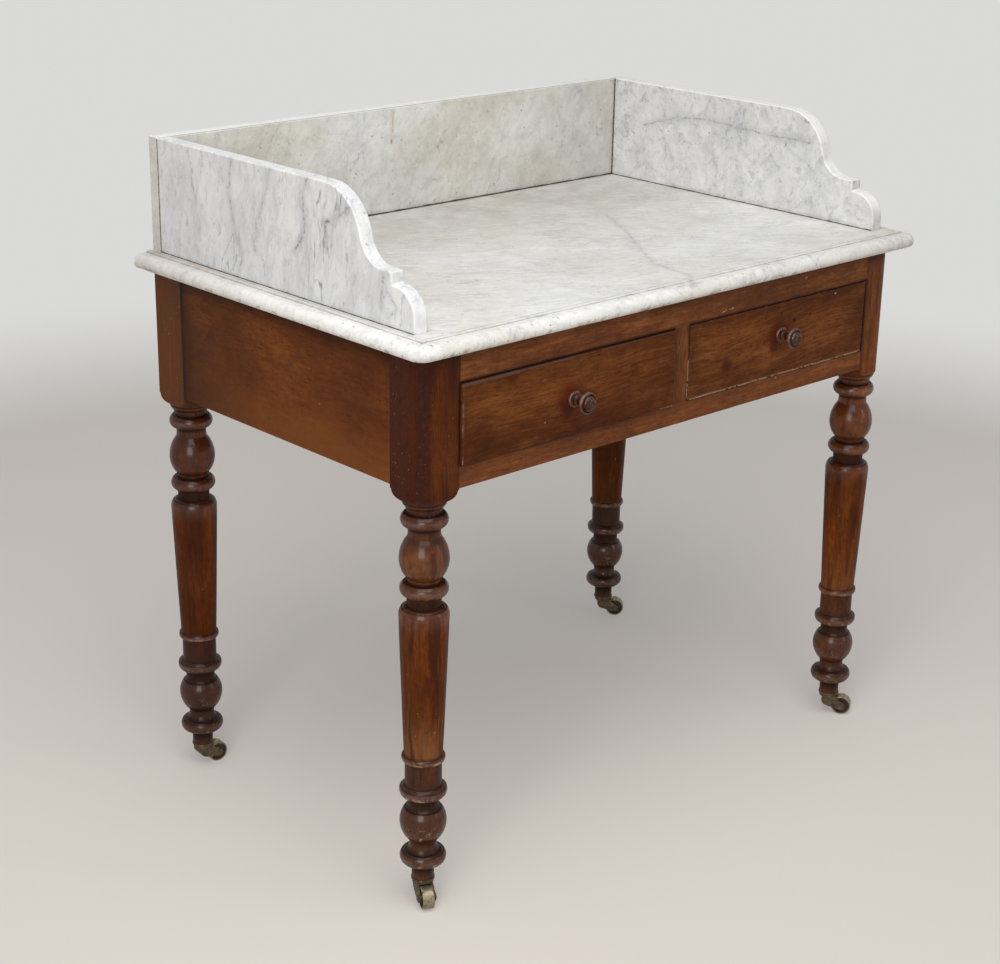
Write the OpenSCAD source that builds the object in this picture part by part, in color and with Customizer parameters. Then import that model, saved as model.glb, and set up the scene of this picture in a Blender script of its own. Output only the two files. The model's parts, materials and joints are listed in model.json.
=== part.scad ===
// Washstand: mahogany frame with two drawers on turned legs and brass casters,
// under a marble slab with three marble splashes.
// Millimetres, +Z up, front towards -Y, floor at z = 0.

/* [Overall] */
// Height of the marble top over the floor
top_z = 750; // [680:5:820]
// Distance between the centres of the left and right legs
leg_span_x = 816; // [640:4:1000]
// Distance between the centres of the front and back legs
leg_span_y = 484; // [420:4:560]

/* [Marble] */
// Thickness of the top slab
slab_t = 21; // [19:1:28]
// How far the slab's flat top runs out past the posts
slab_over = 5; // [2:1:20]
// How far the slab runs out behind the back posts
slab_back = 10; // [0:1:30]
// How far the moulded nose stands out past the flat top
nose_w = 19.5; // [14:0.5:28]
// Step down from the flat top to the nose
nose_step = 2; // [1:0.5:4]
// Radius of the nose's underside
nose_under_r = 7.5; // [4:0.5:9]
// Thickness of the three splashes
splash_t = 20; // [15:1:26]
// Height of the splashes over the slab
splash_h = 150; // [140:2:220]
// From the side edge of the flat top in to the splashes
splash_inset = 11; // [4:1:30]
// From the front edge of the flat top back to the side splashes
splash_setback = 26; // [10:1:60]
// Width of the softened arrises along the splashes' tops
arris = 1.5; // [0.5:0.5:4]

/* [Splash end] */
// Radius of the round shoulder
shoulder_r = 70; // [50:1:75]
// Radius of the hollow below the shoulder
hollow_r = 40; // [30:1:50]
// Height of the square nib over the slab
nib_z = 65; // [58:1:80]
// Length of the nib's flat top
nib_len = 17; // [8:1:30]
// Height of the nib's front face
nib_drop = 15; // [8:1:20]
// Flat shelf between the nib and the round toe
toe_shelf = 6; // [0:1:12]
// Radius of the round toe
toe_r = 35; // [20:1:42]

/* [Frame] */
// Width of the square leg posts
post = 58; // [50:1:70]
// Length of the square leg posts
post_len = 183; // [178:1:200]
// Radius of the front posts' outer corner
post_round_r = 28; // [5:1:40]
// Radius of the turned shoulder under the square posts
pommel_r = 10.6; // [6:0.2:11.6]
// Height of the side and back aprons
apron_h = 168; // [140:1:171]
// Thickness of the side aprons
apron_t = 22; // [16:1:28]
// Thickness of the back apron
back_apron_t = 18; // [14:1:24]
// Height of the rail over the drawers
top_rail_h = 41; // [30:1:50]
// Thickness of the rail over the drawers
top_rail_t = 22; // [16:1:30]
// Height of the rail under the drawers
bottom_rail_h = 29; // [22:1:30]
// Height of the drawer openings
opening_h = 101; // [80:1:104]
// Width of the upright between the drawers
divider_w = 30; // [20:1:50]
// Depth of the upright between the drawers
divider_depth = 40; // [25:1:55]
// Thickness of the tenons
tenon_t = 10; // [8:1:12]
// Length of the tenons
tenon_len = 25; // [15:1:28]
// Shoulder left above and below each tenon
tenon_shoulder = 6; // [4:1:8]
// Glue line around tenons, dovetails and grooves
glue_gap = 0.1; // [0.05:0.05:0.2]

/* [Drawer bearers] */
// Thickness of the runners
runner_t = 20; // [14:1:26]
// Thickness of the kickers over the drawers
kicker_t = 18; // [12:1:26]
// How far runners and kickers reach past the drawer's side
bearer_reach = 20; // [14:1:40]
// Height of the guides beside the drawers
guide_h = 18; // [10:1:40]
// Width of the guide between the drawers, at most the upright's
mid_guide_w = 30; // [16:1:30]
// Length of each drawer stop
stop_len = 40; // [20:1:80]
// Depth of each drawer stop
stop_w = 16; // [10:1:22]
// Height of each drawer stop
stop_h = 5; // [3:0.5:6]
// Distance of the drawer stops from the drawer's middle
stop_x = 90; // [40:1:120]

/* [Drawers] */
// Thickness of the drawer fronts
front_t = 20; // [18:1:26]
// Thickness of the drawer sides and backs
side_t = 10; // [8:1:14]
// Thickness of the drawer bottoms
bottom_t = 6; // [4:1:8]
// Height of the drawer bottom's underside over the drawer's lower edge
bottom_rise = 8; // [7:1:14]
// Depth of the groove that holds the drawer bottom
groove = 4; // [3:0.5:5]
// Sides' top edge below the front's top edge
side_drop = 4; // [2:1:10]
// Back's top edge below the sides' top edge
back_drop = 6; // [0:1:20]
// Space behind a closed drawer
rear_space = 24; // [10:1:60]
// Gap at each end of a drawer front
end_gap = 1; // [0.5:0.25:2]
// Gap over a drawer front
over_gap = 1.2; // [0.6:0.2:3]
// Running gap under a drawer
run_gap = 0.3; // [0.1:0.1:0.6]
// Gap between a closed drawer and its stops
stop_gap = 0.2; // [0.1:0.1:1]
// How far the left drawer stands out at rest
left_proud = 4; // [0:0.5:12]
// Length of the tails lapped into the front
lap_len = 14; // [8:1:15]
// Number of dovetails at each corner
tails = 3; // [2:1:5]
// Slope of the dovetails, across for each millimetre along
tail_slope = 0.14; // [0.1:0.01:0.2]

/* [Knobs] */
// Diameter of the knob's head
knob_d = 28; // [22:1:36]
// How far the knob stands out
knob_len = 32; // [30:0.5:40]
// Diameter of the rose against the drawer
rose_d = 21; // [19:0.5:26]
// Diameter of the knob's neck
knob_neck_d = 11; // [8:0.5:14]
// Height of the left knob over its drawer's middle
left_knob_rise = -4; // [-10:0.5:10]
// Height of the right knob over its drawer's middle
right_knob_rise = 5.5; // [-10:0.5:10]
// Diameter of the spigot in the drawer front
spigot_d = 12; // [8:0.5:14]
// Length of the spigot
spigot_len = 17; // [10:1:17.5]

/* [Turned leg, upper part] */
// Diameter of the cup under the post
cup_d = 55; // [50:0.5:58]
// Diameter of the neck under the cup
cup_neck_d = 42.4; // [36:0.2:46]
// Drop from the post to the ring under the cup
upper_ring_drop = 26.4; // [24.5:0.1:27]
// Diameter of the ring under the cup
upper_ring_d = 58.2; // [54:0.2:64]
// Diameter of the neck over the bulb
bulb_neck_d = 39.4; // [35:0.2:42]
// Drop from the post to the bulb's widest place
bulb_drop = 76.8; // [74.5:0.1:77]
// Diameter of the bulb
bulb_d = 61.6; // [56:0.2:66]
// Radius of the bulb's upper flank
bulb_upper_r = 44.6; // [40:0.2:50]
// Radius of the bulb's lower flank
bulb_lower_r = 35.9; // [32:0.2:40]
// Drop from the post to the ring under the bulb
lower_ring_drop = 115.2; // [113:0.1:117]
// Diameter of the ring under the bulb
lower_ring_d = 60; // [54:0.2:66]
// Diameter of the neck under the lower ring
collar_neck_d = 42.6; // [36:0.2:46]
// Drop from the post to the collar's widest place
collar_drop = 149; // [146:0.5:157]
// Diameter of the collar at the head of the shaft
collar_d = 62.4; // [56:0.2:68]
// Radius of the collar's shoulder
collar_r = 13.8; // [10:0.2:16]

/* [Turned leg, lower part] */
// Diameter at the shaft's foot
shaft_foot_d = 48.8; // [40:0.2:54]
// Height of the thin ring over the floor
thin_ring_z = 204.6; // [198:0.1:215]
// Diameter of the thin ring under the shaft
thin_ring_d = 55.2; // [52:0.2:60]
// Diameter of the plain length under the thin ring
plain_d = 46.5; // [40:0.5:50]
// Height of the ring under the plain length
foot_ring_z = 159.4; // [156:0.1:164]
// Diameter of that ring
foot_ring_d = 60.4; // [54:0.2:64]
// Diameter of the neck over the ball
ball_neck_d = 39.6; // [36:0.2:42]
// Height of the ball's widest place over the floor
ball_z = 116.1; // [114:0.1:118]
// Diameter of the ball
ball_d = 59.6; // [54:0.2:62]
// Radius of the ball's upper flank
ball_upper_r = 29.6; // [26:0.2:32]
// Radius of the ball's lower flank
ball_lower_r = 36.2; // [32:0.2:40]
// Diameter of the neck between the ball and the toe ring
toe_neck_d = 34.4; // [30:0.2:36]
// Height of the toe ring over the floor
toe_ring_z = 65.6; // [62:0.1:66]
// Diameter of the toe ring
toe_ring_d = 59; // [54:0.2:62]
// Diameter of the ankle in the caster
ankle_d = 28.4; // [24:0.2:29.6]
// Step cut where two rounds meet
step_cut = 1.2; // [0.6:0.1:1.8]
// Height and width of the small fillets under the rings
fillet = 1.2; // [0.6:0.1:1.8]

/* [Casters] */
// Height of a caster, from the floor to the leg's end
caster_h = 35; // [34:0.5:42]
// Diameter of the wheel
wheel_d = 29; // [24:0.5:30]
// Width of the wheel
wheel_w = 15; // [11:0.5:17]
// Distance of the axle behind the swivel
trail = 20; // [18:0.5:24]
// Diameter of the plate under the leg
plate_d = 30; // [26:0.5:36]
// Thickness of the plate
plate_t = 3; // [2:0.25:3.5]
// Diameter of the stem in the leg
stem_d = 8; // [6:0.5:10]
// Length of the stem in the leg
stem_len = 30; // [20:1:45]
// Diameter of the pivot that the horn turns on
pivot_d = 7; // [5:0.5:8]
// Diameter of the pivot's riveted head
rivet_d = 10; // [9:0.5:11]
// Thickness of the pivot's riveted head
rivet_t = 1.5; // [1:0.25:2]
// Diameter of the horn's crown
crown_d = 27; // [24:0.5:30]
// Thickness of the horn's crown over the rivet
crown_t = 5.7; // [4.5:0.1:6]
// Thickness of the horn's cheeks
cheek_t = 3; // [2:0.25:4]
// Diameter of the cheeks' round end
cheek_d = 12; // [11:0.5:14]
// Gap between the wheel and each cheek
wheel_gap = 0.5; // [0.3:0.1:1]
// Diameter of the axle
axle_d = 5; // [4:0.25:6]
// Diameter of the axle's peened heads
axle_head_d = 8; // [7:0.25:10]
// Thickness of the axle's peened heads
axle_head_t = 1.2; // [0.8:0.1:2]
// Radial clearance where the caster turns
turn_fit = 0.05; // [0.02:0.01:0.09]
// Radial clearance of pins that don't turn
fixed_fit = 0.03; // [0.02:0.01:0.05]
// Gap between the plate and the horn
swivel_gap = 0.3; // [0.1:0.1:0.5]
// Directions in which the four casters trail: front left, front right, back left, back right
trail_dirs = [-117, -56, -6, -44];

/* [Hidden] */

$fn = 72;
// Largest turn between two points of a curve drawn as points
arc_step = 10;
// How far a cut runs past the face that it opens
past = 1;

marble = [0.86, 0.86, 0.84];
mahogany = [0.36, 0.18, 0.10];
inner_wood = [0.62, 0.47, 0.30];
brass = [0.45, 0.38, 0.22];

// Legs: front left, front right, back left, back right
corners = [[-1, -1], [1, -1], [-1, 1], [1, 1]];

// Levels
frame_z = top_z - slab_t;
post_z = frame_z - post_len;
apron_z = frame_z - apron_h;
opening_top = frame_z - top_rail_h;
opening_z = opening_top - opening_h;
bottom_rail_z = opening_z - bottom_rail_h;

// Faces of the posts, from the middle
out_x = (leg_span_x + post) / 2;
in_x = (leg_span_x - post) / 2;
out_y = (leg_span_y + post) / 2;
in_y = (leg_span_y - post) / 2;

// Flat of the slab, and the splashes
flat_x = out_x + slab_over;
flat_y = out_y + slab_over;
back_y = out_y + slab_back;
splash_x = flat_x - splash_inset;
splash_front_y = -flat_y + splash_setback;
splash_back_y = back_y - splash_t;

// Drawers: y = 0 at the front's face, z = 0 at the lower edge
opening_w = in_x - divider_w / 2;
drawer_x = in_x - opening_w / 2;
drawer_w = opening_w - 2 * end_gap;
drawer_h = opening_h - run_gap - over_gap;
drawer_z = opening_z + run_gap;
drawer_len = 2 * out_y - back_apron_t - rear_space;
side_h = drawer_h - side_drop;
back_z = bottom_rise + bottom_t + glue_gap;
back_top = side_h - back_drop;

// The origin is under the middle of the whole outline, knobs and nose included
front_reach = max(out_y + left_proud + knob_len, flat_y + nose_w);
middle_y = (front_reach - back_y) / 2;

// Caster levels
horn_top = caster_h - plate_t - swivel_gap;
crown_z = horn_top - crown_t;
axle_z = wheel_d / 2;
horn_w = wheel_w + 2 * wheel_gap + 2 * cheek_t;

// Points along an arc about [cx, cy], from angle a0 to angle a1
function arc(cx, cy, r, a0, a1) =
    let (n = ceil(abs(a1 - a0) / arc_step))
    [for (i = [0:n])
        let (a = a0 + (a1 - a0) * i / n)
        [cx + r * cos(a), cy + r * sin(a)]];

// Upper half of a turned round of diameter d and radius r, from the radius above to its
// widest place, with a step cut at the angle line
function upper_half(z, d, r, line, above) =
    let (c = d / 2 - r, inner = r - step_cut)
    concat(
        arc(c, z, inner, acos(max(0, min(0.99, (above - c) / inner))), line + 4),
        [[c + (inner - step_cut / 2) * cos(line + 2), z + (inner - step_cut / 2) * sin(line + 2)]],
        arc(c, z, r, line, 0));

// Its lower half, down to the radius below
function lower_half(z, d, r, below) =
    arc(d / 2 - r, z, r, -arc_step / 2, -acos(max(0, min(0.99, (below - d / 2 + r) / r))));

// A whole turned round
function turned(z, d, r, line, above, below) =
    concat(upper_half(z, d, r, line, above), lower_half(z, d, r, below));

// A small fillet around the neck of radius r, hanging from height z
function listel(r, z) = [[r + fillet, z], [r + fillet, z - fillet], [r, z - fillet]];

// Outline around two circles at p and q, q to the right of p
function link(p, rp, q, rq) =
    let (d = norm(q - p), dir = atan2(q.y - p.y, q.x - p.x), lean = acos((rp - rq) / d))
    concat(
        arc(q.x, q.y, rq, dir - lean, dir + lean),
        arc(p.x, p.y, rp, dir + lean, dir + 360 - lean));

module placed() {
    translate([0, middle_y, 0]) children();
}

module board(lo, hi) {
    translate(lo) cube(hi - lo);
}

// ---- Marble ----

// The nose: x outward from the edge of the flat top, y up from the slab's underside
module nose_outline() {
    over_r = slab_t - nose_step - nose_under_r;
    polygon(concat(
        [[0, 0]],
        arc(nose_w - nose_under_r, nose_under_r, nose_under_r, -90, 0),
        arc(nose_w - over_r, nose_under_r, over_r, 0, 90),
        [[0, slab_t - nose_step]]));
}

module top_slab() {
    color(marble) placed() translate([0, 0, frame_z]) {
        board([-flat_x, -flat_y, 0], [flat_x, back_y, slab_t]);
        // Nose along the front
        translate([-flat_x, -flat_y, 0]) rotate([90, 0, 90]) mirror([1, 0, 0])
            linear_extrude(2 * flat_x) nose_outline();
        for (side = [0, 1]) mirror([side, 0, 0]) {
            // Nose along the end
            translate([flat_x, back_y, 0]) rotate([90, 0, 0])
                linear_extrude(back_y + flat_y) nose_outline();
            // Nose around the front corner
            translate([flat_x, -flat_y, 0]) rotate([0, 0, -90])
                rotate_extrude(angle = 90) nose_outline();
        }
    }
}

// Outline of an upright marble edge with softened arrises at the top
module edge_outline(t, h) {
    polygon([[0, 0], [t, 0], [t, h - arris], [t - arris, h], [arris, h], [0, h - arris]]);
}

module back_splash() {
    color(marble) placed() translate([-splash_x, splash_back_y, top_z])
        rotate([90, 0, 90]) linear_extrude(2 * splash_x) edge_outline(splash_t, splash_h);
}

// Outline of a side splash: x from its front end back, y up from the slab
module splash_outline() {
    nib_x = toe_r + toe_shelf;
    hollow_x = nib_x + nib_len;
    shoulder_y = splash_h - shoulder_r;
    hollow_y = nib_z + hollow_r;
    rise = hollow_y - shoulder_y;
    shoulder_x = hollow_x + sqrt(pow(shoulder_r + hollow_r, 2) - pow(rise, 2));
    turn = asin(rise / (shoulder_r + hollow_r));
    shelf_y = nib_z - nib_drop;
    polygon(concat(
        [[0, 0]],
        arc(toe_r, shelf_y - toe_r, toe_r, 180, 90),
        [[nib_x, shelf_y], [nib_x, nib_z]],
        arc(hollow_x, hollow_y, hollow_r, -90, -turn),
        arc(shoulder_x, shoulder_y, shoulder_r, 180 - turn, 90),
        [[splash_back_y - splash_front_y, splash_h], [splash_back_y - splash_front_y, 0]]));
}

module side_splash(side) {
    color(marble) placed() mirror([side > 0 ? 1 : 0, 0, 0])
        translate([-splash_x, splash_front_y, top_z])
            rotate([90, 0, 90]) linear_extrude(splash_t) splash_outline();
}

// ---- Legs ----

// Plan of a post; the outer corner of a front post is rounded
module post_plan(front) {
    h = post / 2;
    corner = front ? arc(post_round_r - h, post_round_r - h, post_round_r, 180, 270) : [[-h, -h]];
    polygon(concat(corner, [[h, -h], [h, h], [-h, h]]));
}

// Half outline of the turned leg, from inside the post down to the ankle
function turning() =
    let (cup_r = 11, ring_r = 9.8, thin_r = 6, toe_r = 10,
        upper_z = post_z - upper_ring_drop, bulb_z = post_z - bulb_drop,
        lower_z = post_z - lower_ring_drop, collar_z = post_z - collar_drop,
        shaft_r = shaft_foot_d / 2, valley_r = bulb_neck_d / 2 + 1, steps = 6)
    concat(
        [[0, post_z + 5], [cup_d / 2, post_z + 5]],
        arc(cup_d / 2 - cup_r, post_z - step_cut, cup_r, 0, -56),
        listel(cup_neck_d / 2, post_z - step_cut - cup_r),
        turned(upper_z, upper_ring_d, ring_r, 55, cup_neck_d / 2, bulb_neck_d / 2),
        listel(bulb_neck_d / 2, upper_z - ring_r),
        arc(bulb_d / 2 - bulb_upper_r, bulb_z, bulb_upper_r, 40, 0),
        lower_half(bulb_z, bulb_d, bulb_lower_r, valley_r),
        turned(lower_z, lower_ring_d, ring_r, 55, valley_r, collar_neck_d / 2),
        listel(collar_neck_d / 2, lower_z - ring_r),
        upper_half(collar_z, collar_d, collar_r, 38, collar_neck_d / 2),
        // The shaft tapers with a slight swell
        [for (i = [1:steps])
            let (t = 1 - i / steps)
            [shaft_r + (collar_d / 2 - shaft_r) * pow(t, 0.94),
                thin_ring_z + thin_r + (collar_z - thin_ring_z - thin_r) * t]],
        turned(thin_ring_z, thin_ring_d, thin_r, 35, shaft_r, plain_d / 2),
        turned(foot_ring_z, foot_ring_d, ring_r, 24, plain_d / 2, ball_neck_d / 2),
        listel(ball_neck_d / 2, foot_ring_z - ring_r),
        upper_half(ball_z, ball_d, ball_upper_r, 36, ball_neck_d / 2),
        lower_half(ball_z, ball_d, ball_lower_r, toe_neck_d / 2),
        [[toe_neck_d / 2, toe_ring_z + toe_r + 6], [toe_neck_d / 2 + 1.6, toe_ring_z + toe_r + 2]],
        turned(toe_ring_z, toe_ring_d, toe_r, 40, toe_neck_d / 2 + 4, ankle_d / 2 + 6),
        [[ankle_d / 2 + fillet, toe_ring_z - toe_r - 1], [ankle_d / 2, toe_ring_z - toe_r - 3],
            [ankle_d / 2, caster_h], [0, caster_h]]);

// Tenons, each as [low corner, high corner] in the leg's own frame, where the outer
// corner points to -X and -Y; grown by g on every side
function tenon_boxes(front, g) =
    let (h = post / 2, s = tenon_shoulder, side_at = -h + (apron_t - tenon_t) / 2,
        rail_t = front ? top_rail_t : back_apron_t, rail_at = -h + (rail_t - tenon_t) / 2,
        grow = [g, g, g])
    concat(
        [[[side_at, h - tenon_len, apron_z + s] - grow,
            [side_at + tenon_t, h + past, frame_z - 2 * s] + grow]],
        front ? [
            [[h - tenon_len, rail_at, opening_top + s] - grow,
                [h + past, rail_at + tenon_t, frame_z - s] + grow],
            [[h - tenon_len, rail_at, bottom_rail_z + s] - grow,
                [h + past, rail_at + tenon_t, opening_z - s] + grow]]
        : [[[h - tenon_len, rail_at, apron_z + s] - grow,
            [h + past, rail_at + tenon_t, frame_z - 2 * s] + grow]]);

// One leg, in its own frame: square post above, turned below
module leg(i) {
    front = corners[i].y < 0;
    h = post / 2;
    color(mahogany) placed() at_leg(i) mirrored(i) difference() {
        union() {
            intersection() {
                translate([0, 0, post_z]) linear_extrude(post_len) post_plan(front);
                // The turned shoulder takes the post's lower corners off
                rotate_extrude() polygon(concat(
                    [[0, post_z]],
                    arc(h, post_z + pommel_r, pommel_r, -90, 0),
                    [[post, post_z + pommel_r], [post, frame_z + past], [0, frame_z + past]]));
            }
            rotate_extrude() polygon(turning());
        }
        for (box = tenon_boxes(front, glue_gap)) board(box[0], box[1]);
        translate([0, 0, caster_h - past])
            cylinder(d = stem_d + 2 * fixed_fit, h = stem_len + 2 * past);
    }
}

module at_leg(i) {
    translate([corners[i].x * leg_span_x / 2, corners[i].y * leg_span_y / 2, 0]) children();
}

// Turns a piece drawn for the front left leg to face another leg's outer corner
module mirrored(i) {
    mirror([corners[i].x > 0 ? 1 : 0, 0, 0]) mirror([0, corners[i].y > 0 ? 1 : 0, 0]) children();
}

// The tenons that enter leg i from its neighbour k: 0 side apron, 1 upper or only rail, 2 lower rail
module tenon(i, k) {
    box = tenon_boxes(corners[i].y < 0, 0)[k];
    at_leg(i) mirrored(i) board(box[0], box[1]);
}

// ---- Frame ----

module side_apron(side) {
    legs = side < 0 ? [0, 2] : [1, 3];
    color(mahogany) placed() {
        mirror([side > 0 ? 1 : 0, 0, 0])
            board([-out_x, -in_y, apron_z], [-out_x + apron_t, in_y, frame_z]);
        for (i = legs) tenon(i, 0);
    }
}

module back_apron() {
    color(mahogany) placed() {
        board([-in_x, out_y - back_apron_t, apron_z], [in_x, out_y, frame_z]);
        for (i = [2, 3]) tenon(i, 1);
    }
}

// Stub tenon of the upright, standing on level z, grown by g on every side
module upright_stub(z, g) {
    stub = [divider_w * 0.6, tenon_t, tenon_shoulder * 2];
    y = -out_y + top_rail_t / 2;
    board([-stub.x / 2 - g, y - stub.y / 2 - g, z - g],
        [stub.x / 2 + g, y + stub.y / 2 + g, z + stub.z + g]);
}

module top_rail() {
    color(mahogany) placed() difference() {
        union() {
            board([-in_x, -out_y, opening_top], [in_x, -out_y + top_rail_t, frame_z]);
            for (i = [0, 1]) tenon(i, 1);
        }
        upright_stub(opening_top, glue_gap);
    }
}

module bottom_rail() {
    color(mahogany) placed() difference() {
        union() {
            board([-in_x, -out_y, bottom_rail_z], [in_x, -in_y, opening_z]);
            for (i = [0, 1]) tenon(i, 2);
        }
        upright_stub(opening_z - tenon_shoulder * 2, glue_gap);
    }
}

module drawer_divider() {
    color(mahogany) placed() {
        board([-divider_w / 2, -out_y, opening_z],
            [divider_w / 2, -out_y + divider_depth, opening_top]);
        upright_stub(opening_z - tenon_shoulder * 2, 0);
        upright_stub(opening_top, 0);
    }
}

// ---- Drawer bearers ----

// A bearer against the side apron, between the posts, from height z0 to z1
module side_bearer(side, reach, z0, z1) {
    color(inner_wood) placed() mirror([side > 0 ? 1 : 0, 0, 0])
        board([-out_x + apron_t, -in_y, z0], [-in_x + reach, in_y, z1]);
}

// A bearer between the drawers, from y0 to the back apron
module mid_bearer(w, y0, z0, z1) {
    color(inner_wood) placed()
        board([-w / 2, y0, z0], [w / 2, out_y - back_apron_t, z1]);
}

module runner(side) {
    if (side == 0)
        mid_bearer(divider_w + 2 * bearer_reach, -in_y, opening_z - runner_t, opening_z);
    else
        side_bearer(side, bearer_reach, opening_z - runner_t, opening_z);
}

module guide(side) {
    if (side == 0)
        mid_bearer(mid_guide_w, -in_y, opening_z, opening_z + guide_h);
    else
        side_bearer(side, 0, opening_z, opening_z + guide_h);
}

module kicker(side) {
    if (side == 0)
        mid_bearer(divider_w + 2 * bearer_reach, -out_y + top_rail_t,
            opening_top, opening_top + kicker_t);
    else
        side_bearer(side, bearer_reach, opening_top, opening_top + kicker_t);
}

module drawer_stops() {
    y = -out_y + front_t + stop_gap;
    color(inner_wood) placed()
        for (side = [-1, 1], at = [-stop_x, stop_x])
            translate([side * drawer_x + at, y, opening_z])
                board([-stop_len / 2, 0, 0], [stop_len / 2, stop_w, stop_h]);
}

// ---- Drawers ----

module in_drawer(side) {
    proud = side < 0 ? left_proud : 0;
    placed() translate([side * drawer_x, -out_y - proud, drawer_z]) children();
}

// A row of tails of length len between heights z0 and z1, narrow at y = 0 and wide at
// y = len, as thick as a drawer side and grown by g
module tail_row(z0, z1, len, g) {
    pitch = (z1 - z0) / tails;
    wide = pitch * 0.36;
    narrow = wide - len * tail_slope;
    translate([-g, 0, 0]) rotate([90, 0, 90]) linear_extrude(side_t + 2 * g)
        for (i = [0:tails - 1]) {
            z = z0 + pitch * (i + 0.5);
            polygon([[-past, z - narrow - g], [len + g, z - wide - g],
                [len + g, z + wide + g], [-past, z + narrow + g]]);
        }
}

// The tails of both ends of the left side, outer face at x = -drawer_w / 2
module side_tails(g) {
    translate([-drawer_w / 2, front_t, 0]) mirror([0, 1, 0]) tail_row(0, side_h, lap_len, g);
    translate([-drawer_w / 2, drawer_len - side_t, 0]) tail_row(back_z, back_top, side_t, g);
}

// The bottom panel, grown by g
module bottom_panel(g) {
    x = drawer_w / 2 - side_t + groove;
    board([-x - g, front_t - groove - g, bottom_rise - g],
        [x + g, drawer_len + (g > 0 ? past : 0), bottom_rise + bottom_t + g]);
}

module drawer_front(side) {
    color(mahogany) in_drawer(side) difference() {
        board([-drawer_w / 2, 0, 0], [drawer_w / 2, front_t, drawer_h]);
        for (end = [0, 1]) mirror([end, 0, 0]) side_tails(glue_gap);
        bottom_panel(glue_gap);
        translate([0, spigot_len + 2 * glue_gap, knob_z(side)]) rotate([90, 0, 0])
            cylinder(d = spigot_d + 2 * fixed_fit, h = spigot_len + 2 * glue_gap + past);
    }
}

module drawer_side(side, end) {
    x = drawer_w / 2;
    color(inner_wood) in_drawer(side) mirror([end > 0 ? 1 : 0, 0, 0]) difference() {
        union() {
            difference() {
                board([-x, front_t, 0], [-x + side_t, drawer_len, side_h]);
                board([-x - past, drawer_len - side_t, back_z - glue_gap],
                    [x, drawer_len + past, back_top + glue_gap]);
            }
            side_tails(0);
        }
        bottom_panel(glue_gap);
    }
}

module drawer_back(side) {
    color(inner_wood) in_drawer(side) difference() {
        board([-drawer_w / 2, drawer_len - side_t + glue_gap, back_z],
            [drawer_w / 2, drawer_len, back_top]);
        for (end = [0, 1]) mirror([end, 0, 0]) side_tails(glue_gap);
    }
}

module drawer_bottom(side) {
    color(inner_wood) in_drawer(side) bottom_panel(0);
}

// Height of a drawer's knob over the drawer's lower edge
function knob_z(side) = drawer_h / 2 + (side < 0 ? left_knob_rise : right_knob_rise);

// Half outline of a knob: x radius, y out from the drawer's face
function knob_turning() =
    let (rim_r = 3.2, rim_y = knob_len - 8, neck_r = knob_neck_d / 2, foot_r = 2.2,
        dome_r = knob_d * 0.36, dome_y = rim_y + rim_r - 1, dimple_r = 3)
    concat(
        [[0, -spigot_len], [spigot_d / 2, -spigot_len], [spigot_d / 2, 0]],
        arc(rose_d / 2 - foot_r, foot_r, foot_r, -90, 62),
        [[neck_r + 2.2, 5]],
        arc(neck_r + 0.2, 7.4, 2.4, -60, 60),
        [[neck_r, 10.6], [neck_r, rim_y - 7]],
        arc(neck_r + 4, rim_y - 7, 4, 180, 110),
        arc(knob_d / 2 - rim_r, rim_y, rim_r, -90, 78),
        [[dome_r + 1, dome_y - 0.6]],
        [for (a = [0:15:60]) [dome_r * cos(a), dome_y + (knob_len - dome_y) * sin(a) / sin(60)]],
        [[dimple_r, knob_len - 0.4], [dimple_r - 0.8, knob_len - 1.2], [0, knob_len - 1.2]]);

module drawer_knob(side) {
    color(mahogany) in_drawer(side) translate([0, 0, knob_z(side)]) rotate([90, 0, 0])
        rotate_extrude() polygon(knob_turning());
}

// ---- Casters ----

// Plate under the leg, with its stem above and the pivot and its riveted head below
module caster_plate(i) {
    color(brass) placed() at_leg(i) {
        translate([0, 0, caster_h - plate_t]) cylinder(d = plate_d, h = plate_t);
        translate([0, 0, caster_h - past]) cylinder(d = stem_d, h = stem_len + past);
        translate([0, 0, crown_z - swivel_gap]) cylinder(d = pivot_d, h = caster_h - crown_z);
        translate([0, 0, crown_z - swivel_gap - rivet_t]) cylinder(d = rivet_d, h = rivet_t);
    }
}

module in_caster(i) {
    placed() at_leg(i) rotate([0, 0, trail_dirs[i]]) children();
}

// A cylinder across the caster, centred on the axle
module across(d, w) {
    translate([trail, w / 2, axle_z]) rotate([90, 0, 0]) cylinder(d = d, h = w);
}

// Forked horn that swivels under the plate
module caster_horn(i) {
    back_r = 9.5;
    color(brass) in_caster(i) difference() {
        union() {
            intersection() {
                translate([0, horn_w / 2, 0]) rotate([90, 0, 0]) linear_extrude(horn_w)
                    polygon(link([0, horn_top - back_r + 1], back_r, [trail, axle_z], cheek_d / 2));
                board([-crown_d, -crown_d, 0], [2 * trail, crown_d, horn_top]);
            }
            translate([0, 0, horn_top - 4]) cylinder(d = crown_d, h = 4);
        }
        across(wheel_d + 3, wheel_w + 2 * wheel_gap);
        across(axle_d + 2 * fixed_fit, horn_w + 2 * past);
        translate([0, 0, crown_z - past]) cylinder(d = pivot_d + 2 * turn_fit, h = crown_t + 2 * past);
        // Room for the riveted head
        cylinder(d = rivet_d + 0.8, h = crown_z);
    }
}

// Half outline of the wheel: x radius, y along the axle from the middle
module wheel_outline() {
    r = wheel_d / 2;
    w = wheel_w / 2;
    bore = axle_d / 2 + turn_fit;
    hub = bore + 2.4;
    rim = r - 3.2;
    web = w - 3;
    soft = 1.2;
    half = concat([[bore, w], [hub, w], [hub + 0.6, web], [rim - 0.6, web], [rim, w]],
        arc(r - soft, w - soft, soft, 90, 0));
    polygon(concat(half, [for (i = [len(half) - 1:-1:0]) [half[i].x, -half[i].y]]));
}

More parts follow.
